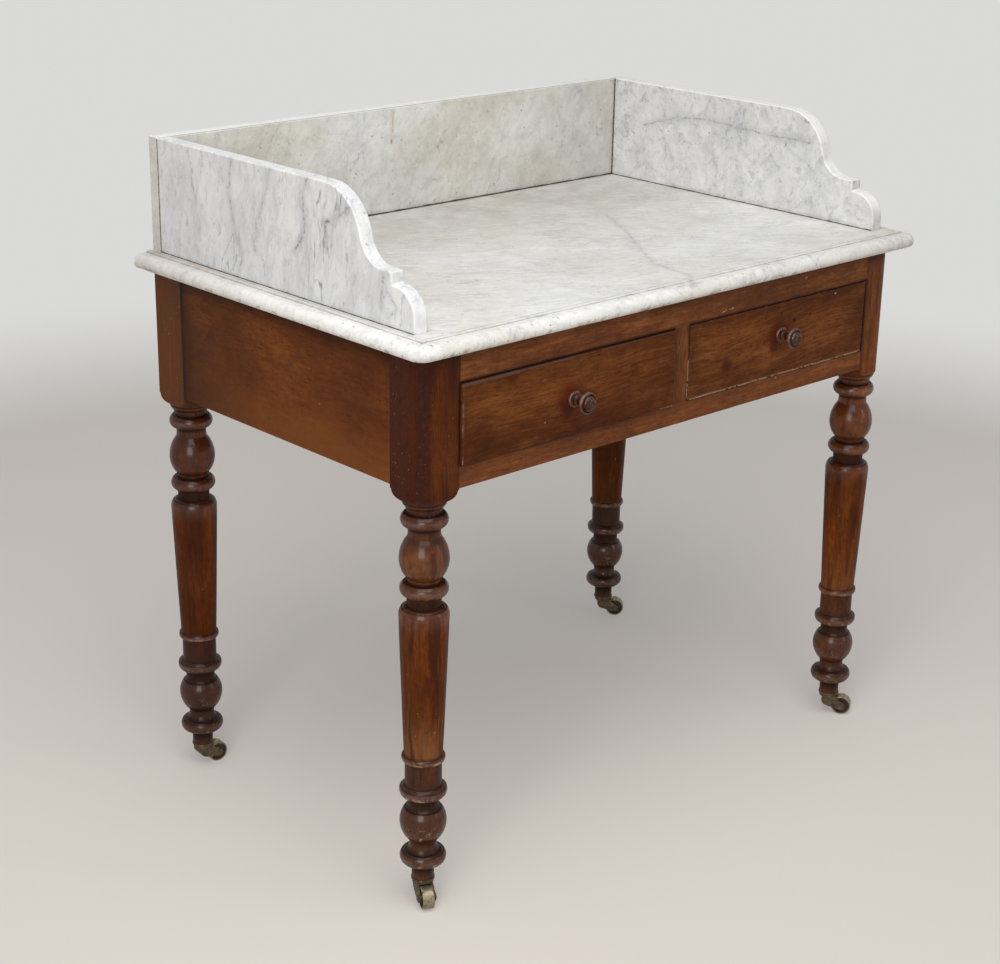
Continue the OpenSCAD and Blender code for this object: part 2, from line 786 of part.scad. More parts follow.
module caster_wheel(i) {
    color(brass) in_caster(i) translate([trail, 0, axle_z]) rotate([90, 0, 0])
        rotate_extrude() wheel_outline();
}

// Axle, peened over both cheeks
module caster_axle(i) {
    color(brass) in_caster(i) {
        across(axle_d, horn_w + 2 * axle_head_t);
        for (end = [0, 1]) mirror([0, end, 0])
            translate([trail, horn_w / 2 + axle_head_t, axle_z]) rotate([90, 0, 0])
                cylinder(d = axle_head_d, h = axle_head_t);
    }
}

top_slab();
back_splash();
side_splash(-1);  // left_splash
side_splash(1);  // right_splash
leg(0);  // leg_front_left
leg(1);  // leg_front_right
leg(2);  // leg_back_left
leg(3);  // leg_back_right
side_apron(-1);  // side_apron_left
side_apron(1);  // side_apron_right
back_apron();
top_rail();
bottom_rail();
drawer_divider();
runner(-1);  // runner_left
runner(0);  // runner_mid
runner(1);  // runner_right
guide(-1);  // guide_left
guide(0);  // guide_mid
guide(1);  // guide_right
kicker(-1);  // kicker_left
kicker(0);  // kicker_mid
kicker(1);  // kicker_right
drawer_stops();
drawer_front(-1);  // left_drawer_front
drawer_side(-1, -1);  // left_drawer_side_left
drawer_side(-1, 1);  // left_drawer_side_right
drawer_back(-1);  // left_drawer_back
drawer_bottom(-1);  // left_drawer_bottom
drawer_knob(-1);  // left_drawer_knob
drawer_front(1);  // right_drawer_front
drawer_side(1, -1);  // right_drawer_side_left
drawer_side(1, 1);  // right_drawer_side_right
drawer_back(1);  // right_drawer_back
drawer_bottom(1);  // right_drawer_bottom
drawer_knob(1);  // right_drawer_knob
caster_plate(0);  // caster_plate_front_left
caster_horn(0);  // caster_horn_front_left
caster_wheel(0);  // caster_wheel_front_left
caster_axle(0);  // caster_axle_front_left
caster_plate(1);  // caster_plate_front_right
caster_horn(1);  // caster_horn_front_right
caster_wheel(1);  // caster_wheel_front_right
caster_axle(1);  // caster_axle_front_right
caster_plate(2);  // caster_plate_back_left
caster_horn(2);  // caster_horn_back_left
caster_wheel(2);  // caster_wheel_back_left
caster_axle(2);  // caster_axle_back_left
caster_plate(3);  // caster_plate_back_right
caster_horn(3);  // caster_horn_back_right
caster_wheel(3);  // caster_wheel_back_right
caster_axle(3);  // caster_axle_back_right
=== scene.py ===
import json
import math
import bmesh
import bpy
from mathutils import Matrix, Vector


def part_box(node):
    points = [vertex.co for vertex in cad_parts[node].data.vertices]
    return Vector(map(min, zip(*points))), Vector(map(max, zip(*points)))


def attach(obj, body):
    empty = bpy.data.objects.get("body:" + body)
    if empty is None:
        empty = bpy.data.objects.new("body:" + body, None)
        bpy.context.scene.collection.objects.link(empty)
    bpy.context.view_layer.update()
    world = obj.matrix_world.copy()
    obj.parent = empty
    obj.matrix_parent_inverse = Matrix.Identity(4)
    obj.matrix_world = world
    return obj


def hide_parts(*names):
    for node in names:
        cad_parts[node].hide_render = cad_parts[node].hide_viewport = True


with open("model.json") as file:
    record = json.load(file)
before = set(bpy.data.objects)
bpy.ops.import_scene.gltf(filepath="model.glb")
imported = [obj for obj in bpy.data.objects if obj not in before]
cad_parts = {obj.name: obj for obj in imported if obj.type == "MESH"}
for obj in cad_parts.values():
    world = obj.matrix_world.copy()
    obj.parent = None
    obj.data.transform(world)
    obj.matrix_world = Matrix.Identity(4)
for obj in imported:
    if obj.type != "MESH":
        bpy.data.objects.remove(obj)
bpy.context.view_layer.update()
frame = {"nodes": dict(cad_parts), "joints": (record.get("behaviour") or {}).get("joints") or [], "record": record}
nodes = frame["nodes"]
bodyOf = {n: body for body, names in frame["record"]["behaviour"]["bodies"].items() for n in names}
jointAt = {joint["name"]: joint for joint in frame["joints"]}
print("frame loaded:", len(nodes), "nodes")

# Camera, at the photograph's angle

camera = {
    "place": (-1.8451, -1.9002, 1.3721),
    "azimuth": -42.998,
    "elevation": 20.086,
    "roll": 1.047,
    "lens": 71.82,
}


def addCamera(settings):
    azimuth, elevation, roll = (math.radians(settings[k]) for k in ("azimuth", "elevation", "roll"))
    right = Vector((math.cos(azimuth), math.sin(azimuth), 0))
    back = Vector((math.sin(azimuth) * math.cos(elevation),
                   -math.cos(azimuth) * math.cos(elevation), math.sin(elevation)))
    turn = Matrix((right, back.cross(right), back)).transposed() @ Matrix.Rotation(roll, 3, "Z")
    data = bpy.data.cameras.new("camera")
    data.lens = settings["lens"]
    data.sensor_width = 36
    made = bpy.data.objects.new("camera", data)
    made.matrix_world = Matrix.Translation(settings["place"]) @ turn.to_4x4()
    bpy.context.scene.collection.objects.link(made)
    bpy.context.scene.camera = made


addCamera(camera)
print("camera placed")


# Shader maths: an expression on values adds its Math nodes, and any other node comes from Shader.node

class Value:
    def __init__(self, shader, socket):
        self.shader = shader
        self.socket = socket

    def maths(self, operation, *numbers):
        return self.shader.node("Math", {"operation": operation}, dict(enumerate(numbers)))

    def __add__(self, other):
        return self.maths("ADD", self, other)

    def __radd__(self, other):
        return self.maths("ADD", other, self)

    def __sub__(self, other):
        return self.maths("SUBTRACT", self, other)

    def __rsub__(self, other):
        return self.maths("SUBTRACT", other, self)

    def __mul__(self, other):
        return self.maths("MULTIPLY", self, other)

    def __rmul__(self, other):
        return self.maths("MULTIPLY", other, self)

    def __truediv__(self, other):
        return self.maths("DIVIDE", self, other)

    def __rtruediv__(self, other):
        return self.maths("DIVIDE", other, self)

    def __abs__(self):
        return self.maths("ABSOLUTE", self)

    def least(self, other):
        return self.maths("MINIMUM", self, other)

    def most(self, other):
        return self.maths("MAXIMUM", self, other)

    def rise(self, low, high):  # 0 below low, 1 above high and smooth between; falls where low > high
        return self.shader.node("MapRange", {"interpolation_type": "SMOOTHSTEP"},
                               {"Value": self, "From Min": low, "From Max": high})


class Shader:
    def __init__(self, owner):
        owner.use_nodes = True
        self.owner = owner
        self.tree = owner.node_tree
        self.tree.nodes.clear()

    def node(self, kind, settings=None, sockets=None, out=0):
        made = self.tree.nodes.new("ShaderNode" + kind)
        for setting, value in (settings or {}).items():
            if setting == "stops":
                ramp = made.color_ramp
                while len(ramp.elements) < len(value):
                    ramp.elements.new(0.5)
                for element, (at, colour) in zip(ramp.elements, value):
                    element.position = at
                    element.color = (*colour, 1)
            else:
                setattr(made, setting, value)
        for socket, value in (sockets or {}).items():
            target = made.inputs[socket]
            if isinstance(value, Value):
                self.tree.links.new(value.socket, target)
            elif target.type == "RGBA":
                target.default_value = (*value[:3], 1)
            else:
                target.default_value = value
        return Value(self, made.outputs[out]) if len(made.outputs) else None

    def looking(self):  # 1 for a ray from the camera, also by way of gloss or glass
        camera, glossy, through = [self.node("LightPath", out=ray) for ray in (
            "Is Camera Ray", "Is Glossy Ray", "Is Transmission Ray")]
        return camera.most(glossy).most(through)


class Paint(Shader):  # a finish, built up in layers of its look's tints
    def __init__(self, name, look=None):
        super().__init__(bpy.data.materials.new(name))
        self.look = look
        self.colour = None
        self.place = self.node("TexCoord", out="Object")
        self.x, self.y, self.z = self.parts(self.place)

    def vector(self, operation, *vectors, out=0):
        return self.node("VectorMath", {"operation": operation}, dict(enumerate(vectors)), out=out)

    def scaled(self, place, amount):
        return self.node("VectorMath", {"operation": "SCALE"}, {0: place, "Scale": amount})

    def moved(self, place, seed):
        return self.vector("ADD", place, (seed * 1.37, seed * 0.71, seed * 2.13))

    def noise(self, place, scale, detail=3.0, roughness=0.55, distortion=0.0, out=0):
        return self.node("TexNoise", {}, {"Vector": place, "Scale": scale, "Detail": detail,
                                          "Roughness": roughness, "Distortion": distortion}, out=out)

    def swayed(self, place, scale, reach):  # the place, pushed about by a soft noise
        push = self.vector("SUBTRACT", self.noise(place, scale, 2.0, out=1), (0.5, 0.5, 0.5))
        return self.vector("ADD", place, self.scaled(push, reach))

    def mix(self, factor, first, second, blend="MIX"):
        return self.node("Mix", {"data_type": "RGBA", "blend_type": blend},
                         {0: factor, 6: first, 7: second}, out=2)

    def over(self, factor, tint, blend="MIX"):  # one more layer of colour
        tint = self.look[tint] if isinstance(tint, str) else tint
        self.colour = self.mix(factor, self.colour, tint, blend)

    def ramp(self, value, stops):
        return self.node("ValToRGB", {"stops": stops}, {0: value})

    def parts(self, place):
        split = self.node("SeparateXYZ", {}, {0: place}).socket.node
        return [Value(self, socket) for socket in split.outputs]

    def toLine(self, place, points):  # distance to the line through these points
        nearest = None
        for start, end in zip(points, points[1:]):
            run = Vector(end) - Vector(start)
            away = self.vector("SUBTRACT", place, tuple(start))
            share = self.vector("DOT_PRODUCT", away, tuple(run / run.length_squared), out=1)
            share = self.node("Clamp", {}, {0: share})
            gap = self.vector("DISTANCE", away, self.scaled(tuple(run), share), out=1)
            nearest = gap if nearest is None else nearest.least(gap)
        return nearest

    def facingUp(self):
        return self.parts(self.node("TexCoord", out="Normal"))[2]

    def fromAxis(self, at, across):  # distance to the axis through a point; across is 0 along the axis
        away = self.vector("MULTIPLY", self.vector("SUBTRACT", self.place, at), across)
        return self.vector("LENGTH", away, out=1)

    def toArris(self, box):  # distance of a point on a board's face to the board's nearest edge
        low, high = box
        first, second, third = [
            abs(part - start).least(abs(part - end))
            for part, start, end in zip((self.x, self.y, self.z), low, high)]
        return first.least(second).most(first.most(second).least(third))

    def specks(self, place, scale, size, share):  # scattered spots; share of the cells that hold one
        cells = {"Vector": place, "Scale": scale}
        pick, spread = self.parts(self.node("TexVoronoi", {}, cells, out="Color"))[:2]
        spread = (spread * 0.8 + 0.3) * size
        near = self.node("TexVoronoi", {}, cells, out="Distance").rise(spread, spread * 0.4)
        return near * pick.rise(1 - share, 1 - share + 0.02)

    def network(self, place, scale, width):  # the lines between cells
        return self.node("TexVoronoi", {"feature": "DISTANCE_TO_EDGE"}, {"Vector": place, "Scale": scale},
                         out="Distance").rise(width, 0)

    def bump(self, height, reach, strength=1.0):
        return self.node("Bump", {}, {"Strength": strength, "Distance": reach, "Height": height})

    def finish(self, sockets):
        surface = self.node("BsdfPrincipled", {}, {"Base Color": self.colour, **sockets})
        self.node("OutputMaterial", {}, {"Surface": surface})
        return self.owner


# Marble: cloudy grey over warm white, soft streaks, thin granular veins and small dark spots

marbleLook = {
    "white": (0.80, 0.80, 0.785),
    "cloud": (0.36, 0.375, 0.395),
    "vein": (0.15, 0.155, 0.165),
    "warm": (0.80, 0.745, 0.62),
    "speck": (0.12, 0.115, 0.11),
    "grime": (0.25, 0.215, 0.17),
    "soil": (0.12, 0.095, 0.07),
    "clean": (0.92, 0.91, 0.88),
    "drip": (0.53, 0.44, 0.30),
    "dripMiddle": (0.34, 0.25, 0.16),
    "dripEnd": (0.18, 0.14, 0.10),
}


def marbleHaze(paint, slab, place, turned, soft, along):  # how grey the ground is
    longer = paint.vector("MULTIPLY", soft, (slab["stretch"] * 0.5, 1, 1))
    wide = paint.noise(along, 9, 8, 0.72) - 0.5
    spots = paint.noise(along, 44, 6, 0.8) - 0.5
    streaks = paint.noise(longer, slab["fine"], 6, 0.78) - 0.5
    crystals = paint.noise(place, 400, 2, 0.8) - 0.5
    crinkles = abs(paint.noise(along, slab["crease"], 6, 0.72) - 0.5).rise(0.07, 0.0)
    creased = paint.noise(along, 24, 4, 0.7).rise(0.36, 0.62)
    webbed = paint.swayed(paint.swayed(paint.swayed(turned, 12, 0.05), 40, 0.016), 150, 0.006)
    web = paint.network(webbed, 24, 0.12) * paint.noise(webbed, 60, 5, 0.78).rise(0.45, 0.62)
    return (wide * slab["broad"] + spots * slab["mottle"] + streaks * slab["streak"]
            + crystals * 0.32 + crinkles * creased * slab["crinkle"] + web * slab["web"] + 0.19)


def marbleCrackle(paint, slab, soft, along):
    # Thin veins: where a soft noise crosses its middle, broken up into grains
    bent = paint.swayed(paint.vector("MULTIPLY", soft, (slab["stretch"] * 0.8, 1, 1)), 60, 0.003)
    grains = paint.noise(along, 130, 4, 0.72).rise(0.45, 0.6)
    faded = paint.noise(paint.moved(along, 5), 13, 4, 0.65)
    thin = abs(paint.noise(bent, 19, 3, 0.55) - 0.5).rise(0.02, 0.0)
    fine = abs(paint.noise(bent, 40, 3, 0.6) - 0.5).rise(0.03, 0.0)
    clots = paint.noise(along, 120, 3, 0.6).rise(0.62, 0.76)
    held = faded.rise(0.48, 0.62) * slab["crackle"]
    strong = (thin * grains + clots * 0.4).least(1) * held * 0.85
    slight = fine * grains * faded.rise(0.56, 0.42) * (slab["crackle"] * 0.45)
    paint.over(thin * held * 0.35, "cloud")
    paint.over(strong, "vein")
    paint.over(slight, "vein")


def marbleVeins(paint, place, veins):  # the veins that a slab is known by: line, width, depth
    ragged = paint.swayed(paint.swayed(paint.place, 40, 0.008), 200, 0.003)
    broken = paint.noise(paint.place, 75, 3, 0.65).rise(0.36, 0.56)
    grit = paint.noise(place, 260, 3, 0.75).rise(0.38, 0.62)
    for line, width, depth in veins:
        gap = paint.toLine(ragged, line)
        paint.over(gap.rise(width * 7, 0) * (depth * 0.4), "cloud")
        core = gap.rise(width * 1.3, width * 0.3)
        paint.over(core * grit * broken * depth, "vein")


def marbleSpots(paint, slab, place):
    blots = paint.noise(place, 165, 2, 0.5).rise(0.69, 0.75) * paint.noise(place, 21, 3).rise(0.4, 0.58)
    paint.over(blots * 0.6, "speck")
    dots = paint.specks(paint.swayed(place, 240, 0.003), 55, 0.13, slab["spotted"])
    finer = paint.swayed(paint.moved(place, 2), 300, 0.002)
    small = paint.specks(finer, 120, 0.17, slab["spotted"] * 0.6)
    paint.over(dots.most(small) * 0.55, "speck")


def marbleSoilAndShade(paint, place, stainsAndLight, joints):
    for line, width, tint, depth in stainsAndLight:
        gap = paint.toLine(paint.swayed(paint.place, 40, 0.003), line)
        paint.over(gap.rise(width, width * 0.3) * depth, tint)
    worn = paint.noise(place, 22, 5, 0.7).rise(0.3, 0.7)
    for line, width, depth in joints:  # soil that wiping leaves beside the joints; the wide bands are painted shade
        tint = "soil" if width < 0.002 else "grime"
        patchy = paint.toLine(paint.place, line).rise(width, 0) * (worn * 0.6 + 0.4)
        paint.over(patchy * depth, tint)


def marbleEdge(paint, slab, place, edge):  # a rubbed edge: paler, pitted, and soiled low down; on the splashes' upward-facing tops the paleness is painted light
    paint.over(edge * slab["cleanedAndLit"], "clean")
    pits = paint.specks(paint.swayed(paint.moved(place, 9), 260, 0.003), 110, 0.2, 0.55) * edge
    paint.over(pits * 0.7, "speck")
    soil = paint.noise(paint.moved(place, 5), 34, 5, 0.75).rise(0.55, 0.72) * edge
    paint.over(soil * 0.35, "cloud")
    low = paint.z.rise(*slabAt["soiledNose"])
    dirty = paint.noise(place, 55, 5, 0.75).rise(0.5, 0.64) * edge * low
    paint.over(dirty * 0.75, "grime")


def marble(name, slab, rubbed, joints, veins=(), stainsAndLight=()):
    paint = Paint(name, marbleLook)
    place = paint.moved(paint.place, slab["seed"])
    # Turned so that its x runs along the streaks
    turned = paint.node("VectorRotate", {"rotation_type": "EULER_XYZ"},
                        {"Vector": place, "Rotation": tuple(math.radians(a) for a in slab["drift"])})
    soft = paint.swayed(paint.swayed(turned, 6, 0.045), 28, 0.008)
    along = paint.vector("MULTIPLY", soft, (slab["stretch"], 1, 1))
    haze = marbleHaze(paint, slab, place, turned, soft, along)
    edge = rubbed(paint)
    # The edge is paler, with short streaks across it; on the splashes' upward-facing tops the paleness is painted
    # light
    across = paint.vector("MULTIPLY", paint.swayed(place, 60, 0.01), (1, 1, 0.12))
    ticks = paint.noise(across, 95, 5, 0.78).rise(0.46, 0.74) * paint.noise(place, 17, 4, 0.6).rise(0.38, 0.6)
    haze = haze * (1 - edge * slab["even"]) + edge * ticks * slab["ticks"]
    paint.colour = paint.mix(haze.most(0).least(1), marbleLook["white"], marbleLook["cloud"])
    warm = paint.noise(paint.moved(place, 3), 5, 5, 0.62).rise(0.36, 0.7) * slab["warmth"]
    paint.over(warm, "warm", "MULTIPLY")
    marbleCrackle(paint, slab, soft, along)
    marbleVeins(paint, place, veins)
    marbleSpots(paint, slab, place)
    marbleSoilAndShade(paint, place, stainsAndLight, joints)
    paint.over(1.0, slab["tint"], "MULTIPLY")
    marbleEdge(paint, slab, place, edge)
    patch = paint.noise(place, 6, 3)
    etched = paint.noise(place, 85, 4, 0.6)
    rough = 0.3 + patch * 0.18 + etched.rise(0.5, 0.75) * 0.12
    normal = paint.bump(etched * 0.6 + paint.noise(place, 18, 2), 0.0007, 0.5)
    return paint.finish({"Roughness": rough, "Normal": normal,
                         "Specular IOR Level": 0.45})


# Mahogany: waxed, with soft grain along each piece, dark pores and edges worn by use

mahoganyLook = {
    "dark": (0.030, 0.0075, 0.0028),
    "mid": (0.103, 0.0297, 0.0072),
    "light": (0.245, 0.084, 0.021),
    "pore": (0.014, 0.004, 0.0025),
    "worn": (0.30, 0.17, 0.115),
    # soot is real soot and old polish in hollows and specks, and also painted shade in the gaps, beside the posts
    # and under the slab
    "nick": (0.42, 0.27, 0.17),
    "soot": (0.011, 0.0045, 0.003),
    # bloom is also painted over the rails, divider and back apron as a painted sheen
    "bloom": (0.115, 0.066, 0.055),
    "rim": (0.17, 0.112, 0.092),
    "pale": (0.24, 0.118, 0.055),
    "stain": (0.044, 0.0085, 0.003),
    "corner": (0.026, 0.0075, 0.005),
    "soil": (0.034, 0.016, 0.011),
    "rear": (0.045, 0.021, 0.0115),
    "halo": (0.085, 0.010, 0.004),
}


# grain: the axis along the grain; shade, red and blue multiply the colour; streaky: how strong the grain is
def mahogany(name, grain, seed, shade=1.0, red=0.0, gloss=0.5, box=None, edge=0.5, shadeLines=(), marks=(),
             polish=None, knocked=0.02, streaky=1.0, blue=1.0):
    look = mahoganyLook
    paint = Paint(name, look)
    place = paint.moved(paint.place, seed)
    along = Vector((1, 1, 1))
    bent = paint.swayed(place, 5, 0.03)

    def stretched(amount):
        along[grain] = amount
        return paint.vector("MULTIPLY", bent, tuple(along))

    figure = paint.noise(stretched(0.08), 85, 5, 0.7)
    fibre = paint.noise(stretched(0.06), 420, 3, 0.7)
    pores = paint.noise(stretched(0.16), 560, 3, 0.6).rise(0.58, 0.7)
    ripple = paint.noise(stretched(0.9), 120, 3, 0.65)  # the mottle of mahogany
    cloud = paint.noise(paint.moved(stretched(0.5), 2), 8, 5, 0.62)
    tone = (figure * 0.36 + fibre * 0.38 - 0.37) * streaky + ripple * 0.2 + cloud * 0.75 + 0.025
    paint.colour = paint.ramp(tone, [(0.2, look["dark"]), (0.5, look["mid"]), (0.8, look["light"])])
    paint.over(pores * 0.6, "pore")
    smudge = paint.noise(paint.moved(stretched(0.4), 8), 30, 4, 0.7).rise(0.52, 0.74)
    paint.over(smudge * 0.45, "dark")
    stain = (shade * (1 + red), shade * (1 - red * 0.5), shade * (1 - red) * blue)
    paint.over(1.0, stain, "MULTIPLY")
    height = fibre * 0.5 - pores * 0.5 + cloud * 2
    if box:  # edges rubbed pale, in places
        gap = paint.toArris(box)
        rubbed = paint.noise(place, 42, 5, 0.7)
        pale = gap.rise(0.0022, 0.0004) * rubbed.rise(0.62 - edge * 0.3, 0.84 - edge * 0.3) * edge
        paint.over(gap.rise(0.03, 0) * rubbed.rise(0.2, 0.7) * 0.45, "dark")
        paint.over(pale, "worn")
        height = height - pale * 0.4
    # painted shade along lines: beside the drawer openings, and on the side aprons beside the back posts
    for line, width, tint, depth in shadeLines:
        gap = paint.toLine(paint.swayed(paint.place, 45, 0.003), line)
        paint.over(gap.rise(width, width * 0.15) * depth, tint)
    # Small knocks, specks and scratches
    along[grain] = 0.45
    ragged = paint.vector("MULTIPLY", paint.swayed(place, 300, 0.003), tuple(along))
    knocks = paint.specks(ragged, 80, 0.12, 0.3)
    paint.over(knocks * 0.75, "pore")
    flecks = paint.specks(paint.moved(ragged, 4), 150, 0.15, knocked)
    paint.over(flecks * 0.5, "nick")
    scuff = paint.swayed(paint.moved(place, 6), 30, 0.03)
    scratch = abs(paint.noise(scuff, 24, 2, 0.5) - 0.5).rise(0.004, 0) * cloud.rise(0.55, 0.7)
    paint.over(scratch * 0.25, "worn")
    for mask, tint, depth in marks:
        paint.over(mask(paint) * depth, tint)
    hollow = paint.node("Attribute", {"attribute_name": "hollow"}, out="Fac")
    paint.over(hollow.rise(0.04, 0.9) * 0.8, "soot")
    rough = 0.5 - gloss * 0.22 + cloud * 0.16 + pores * 0.1 + hollow * 0.2
    coat = polish(paint) * (1 - hollow) * (cloud * 0.75 + 0.2) * gloss if polish else 0.0
    return paint.finish({"Roughness": rough,
                         "Normal": paint.bump(height - knocks * 1.5, 0.0005, 0.55), "Coat Weight": coat,
                         "Coat Roughness": 0.2, "Specular IOR Level": 0.04 + gloss * 0.04})


# Bare wood inside: drawer linings and runners, dry and dusty

liningLook = {
    "dark": (0.20, 0.115, 0.055),
    "mid": (0.36, 0.235, 0.125),
    "light": (0.47, 0.335, 0.20),
    "soiled": (0.11, 0.065, 0.035),
    "speck": (0.07, 0.035, 0.02),
}


def liningWood(name, grain, seed, box=None, shade=1.0):
    look = liningLook
    paint = Paint(name, look)
    place = paint.moved(paint.place, seed)
    bent = paint.swayed(place, 4, 0.025)
    along = Vector((1, 1, 1))
    along[grain] = 0.05
    rings = paint.noise(paint.vector("MULTIPLY", bent, tuple(along)), 70, 5, 0.6)
    along[grain] = 0.02
    fibre = paint.noise(paint.vector("MULTIPLY", bent, tuple(along)), 520, 3, 0.6)
    cloud = paint.noise(place, 7, 4, 0.6)
    paint.colour = paint.ramp(rings * 0.5 + fibre * 0.3 + cloud * 0.2,
                              [(0.34, look["dark"]), (0.5, look["mid"]), (0.68, look["light"])])
    paint.over(1.0, (shade, shade, shade), "MULTIPLY")
    if box:
        soiled = paint.toArris(box).rise(0.012, 0) * cloud.rise(0.3, 0.7)
        paint.over(soiled * 0.6, "soiled")
    paint.over(paint.specks(place, 60, 0.08, 0.1) * 0.7, "speck")
    return paint.finish({"Roughness": 0.66 + cloud * 0.2,
                         "Normal": paint.bump(rings + fibre * 0.6, 0.0004, 0.6)})


# Brass: aged nearly black in the hollows and rubbed bright where it is touched

brassLook = {
    "dull": (0.105, 0.074, 0.04),
    "dark": (0.032, 0.022, 0.014),
    "bright": (0.47, 0.40, 0.275),
    "bloom": (0.150, 0.120, 0.076),
}


def agedBrass(name, seed, bright=None, black=None):
    look = brassLook
    paint = Paint(name, look)
    place = paint.moved(paint.place, seed)
    cloud = paint.noise(place, 130, 4, 0.65)
    grit = paint.noise(place, 900, 3, 0.6)
    paint.colour = paint.ramp(cloud * 0.7 + grit * 0.3,
                              [(0.34, look["dark"]), (0.52, look["dull"]), (0.66, look["bloom"])])
    rubbed = paint.noise(paint.moved(place, 2), 210, 4, 0.6)
    shine = rubbed.rise(0.56, 0.7) * 0.35
    if black:
        paint.over(black(paint) * 0.6, "dark")
    if bright:
        shine = shine.most(bright(paint) * rubbed.rise(0.25, 0.6))
    paint.over(shine, "bright")
    return paint.finish({"Metallic": 0.55 + shine * 0.4,
                         "Roughness": 0.55 - shine * 0.25 + grit * 0.12,
                         "Normal": paint.bump(cloud + grit * 0.5, 0.0003, 0.7)})


print("finishes described")


# Pieces: a softened piece stands for its node, with its arrises eased as use has eased them

arris = {
    "sharp": math.radians(28),   # edges sharper than this are eased
    "flat": math.radians(0.6),   # and flatter than this are no edges at all
    "merge": 2e-6,
    "footWeight": 0.2,
}


def cleanMesh(name, source):
    shape = bmesh.new()
    shape.from_mesh(source)
    bmesh.ops.remove_doubles(shape, verts=shape.verts, dist=arris["merge"])
    bmesh.ops.dissolve_limit(shape, angle_limit=arris["flat"], verts=shape.verts, edges=shape.edges)
    shape.verts.index_update()
    mesh = bpy.data.meshes.new(name)
    mesh.from_pydata([v.co[:] for v in shape.verts], [], [[v.index for v in f.verts] for f in shape.faces])
    shape.free()
    return mesh


def weighArrises(mesh, foot):  # arrises are eased fully above the foot, and hardly at it
    shape = bmesh.new()
    shape.from_mesh(mesh)
    weight = shape.edges.layers.float.new("bevel_weight_edge")
    for edge in shape.edges:
        if len(edge.link_faces) == 2 and edge.calc_face_angle() > arris["sharp"]:
            atFoot = max(v.co.z for v in edge.verts) < foot + 0.0005
            edge[weight] = arris["footWeight"] if atFoot else 1
    shape.to_mesh(mesh)
    shape.free()


def addPiece(mesh, finish, body):
    mesh.polygons.foreach_set("use_smooth", [True] * len(mesh.polygons))
    mesh.materials.append(finish)
    piece = bpy.data.objects.new(mesh.name, mesh)
    bpy.context.scene.collection.objects.link(piece)
    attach(piece, body)
    return piece


def soften(node, name, finish, ease, steps=2, foot=None):
    piece = addPiece(cleanMesh(name, nodes[node].data), finish, bodyOf[node])
    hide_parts(node)
    easing = piece.modifiers.new("eased arrises", "BEVEL")
    if foot is None:
        easing.limit_method = "ANGLE"
        easing.angle_limit = arris["sharp"]
    else:
        weighArrises(piece.data, foot)
        easing.limit_method = "WEIGHT"
    easing.width = ease
    easing.segments = steps
    easing.harden_normals = True
    return piece


def dress(node, finish):  # a node whose shape stays as it is
    data = nodes[node].data
    data.materials.clear()
    data.materials.append(finish)


# Marble top and splashes

slabTop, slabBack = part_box("top_slab")[1].z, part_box("top_slab")[1].y
innerX, outerX = (end.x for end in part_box("right_splash"))
innerY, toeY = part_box("back_splash")[0].y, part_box("right_splash")[0].y
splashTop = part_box("back_splash")[1].z
slabAt = {
    "ease": 0.0007,
    "splashEase": 0.0022,
    "flatX": 0.442,                  # where the flat top steps down to the nose, at the ends
    "flatFront": -0.263,             # and in front
    "step": 0.002,
    "innerStep": 0.005,
    "soiledNose": (0.7385, 0.733),   # heights between which the nose's soil starts
    "leftNose": (0.4575, 0.739),
}


def onTop(*points):
    return [(x, y, slabTop) for x, y in points]


def onLeft(*points):
    return [(-outerX, y, z) for y, z in points]


def onBack(*points):
    return [(x, innerY, z) for x, z in points]


def onRight(*points):
    return [(innerX, y, z) for y, z in points]


def roundTop(inward, z):  # a line round three sides of the flat top
    x, front = slabAt["flatX"] - inward, slabAt["flatFront"] + inward
    return [(-x, slabBack, z), (-x, front, z), (x, front, z), (x, slabBack, z)]


# Lines where the slabs meet: the splashes' feet, the upright corners and the seams on top
feet = [onTop((side * x, toeY), (side * x, innerY)) for side in (-1, 1) for x in (innerX, outerX)]
backFoot = onTop((-innerX, innerY), (innerX, innerY))
uprights = [onBack((side * innerX, slabTop), (side * innerX, splashTop)) for side in (-1, 1)]
seams = [onBack((side * outerX, splashTop), (side * innerX, splashTop)) for side in (-1, 1)]
# step and innerStep are painted as dark lines on the slab: a painted shadow of the nose's step, with some dirt
step = roundTop(0, slabTop - slabAt["step"])
innerStep = roundTop(slabAt["innerStep"], slabTop)

# Veins: line, width, depth
slabVeins = [
    (onTop((0.190, 0.068), (0.136, -0.024), (0.095, -0.081), (0.031, -0.174), (0.020, -0.245))
     + [(-0.034, -0.319, 0.74)], 0.0014, 0.75),
    (onTop((0.25, 0.19), (0.19, 0.068)), 0.001, 0.15),
]
leftVeins = [
    (onLeft((-0.042, 0.898), (-0.032, 0.877), (-0.036, 0.833), (-0.015, 0.807)), 0.0018, 1.0),
    (onLeft((-0.124, 0.879), (-0.103, 0.864), (-0.075, 0.851), (-0.077, 0.835)), 0.0017, 1.0),
    (onLeft((0.111, 0.899), (0.118, 0.852), (0.110, 0.815), (0.093, 0.774), (0.110, 0.745)), 0.0015, 0.8),
    (onLeft((0.031, 0.899), (0.048, 0.854), (0.071, 0.803), (0.066, 0.79)), 0.0014, 0.7),
    (onLeft((0.175, 0.899), (0.178, 0.873), (0.193, 0.829)), 0.001, 0.5),
    (onLeft((-0.185, 0.816), (-0.180, 0.791), (-0.178, 0.771)), 0.0018, 0.7),
    (onLeft((-0.19, 0.79), (-0.205, 0.774), (-0.19, 0.76)), 0.0012, 0.6),
    (onLeft((0.005, 0.791), (0.009, 0.75)), 0.001, 0.45),
]
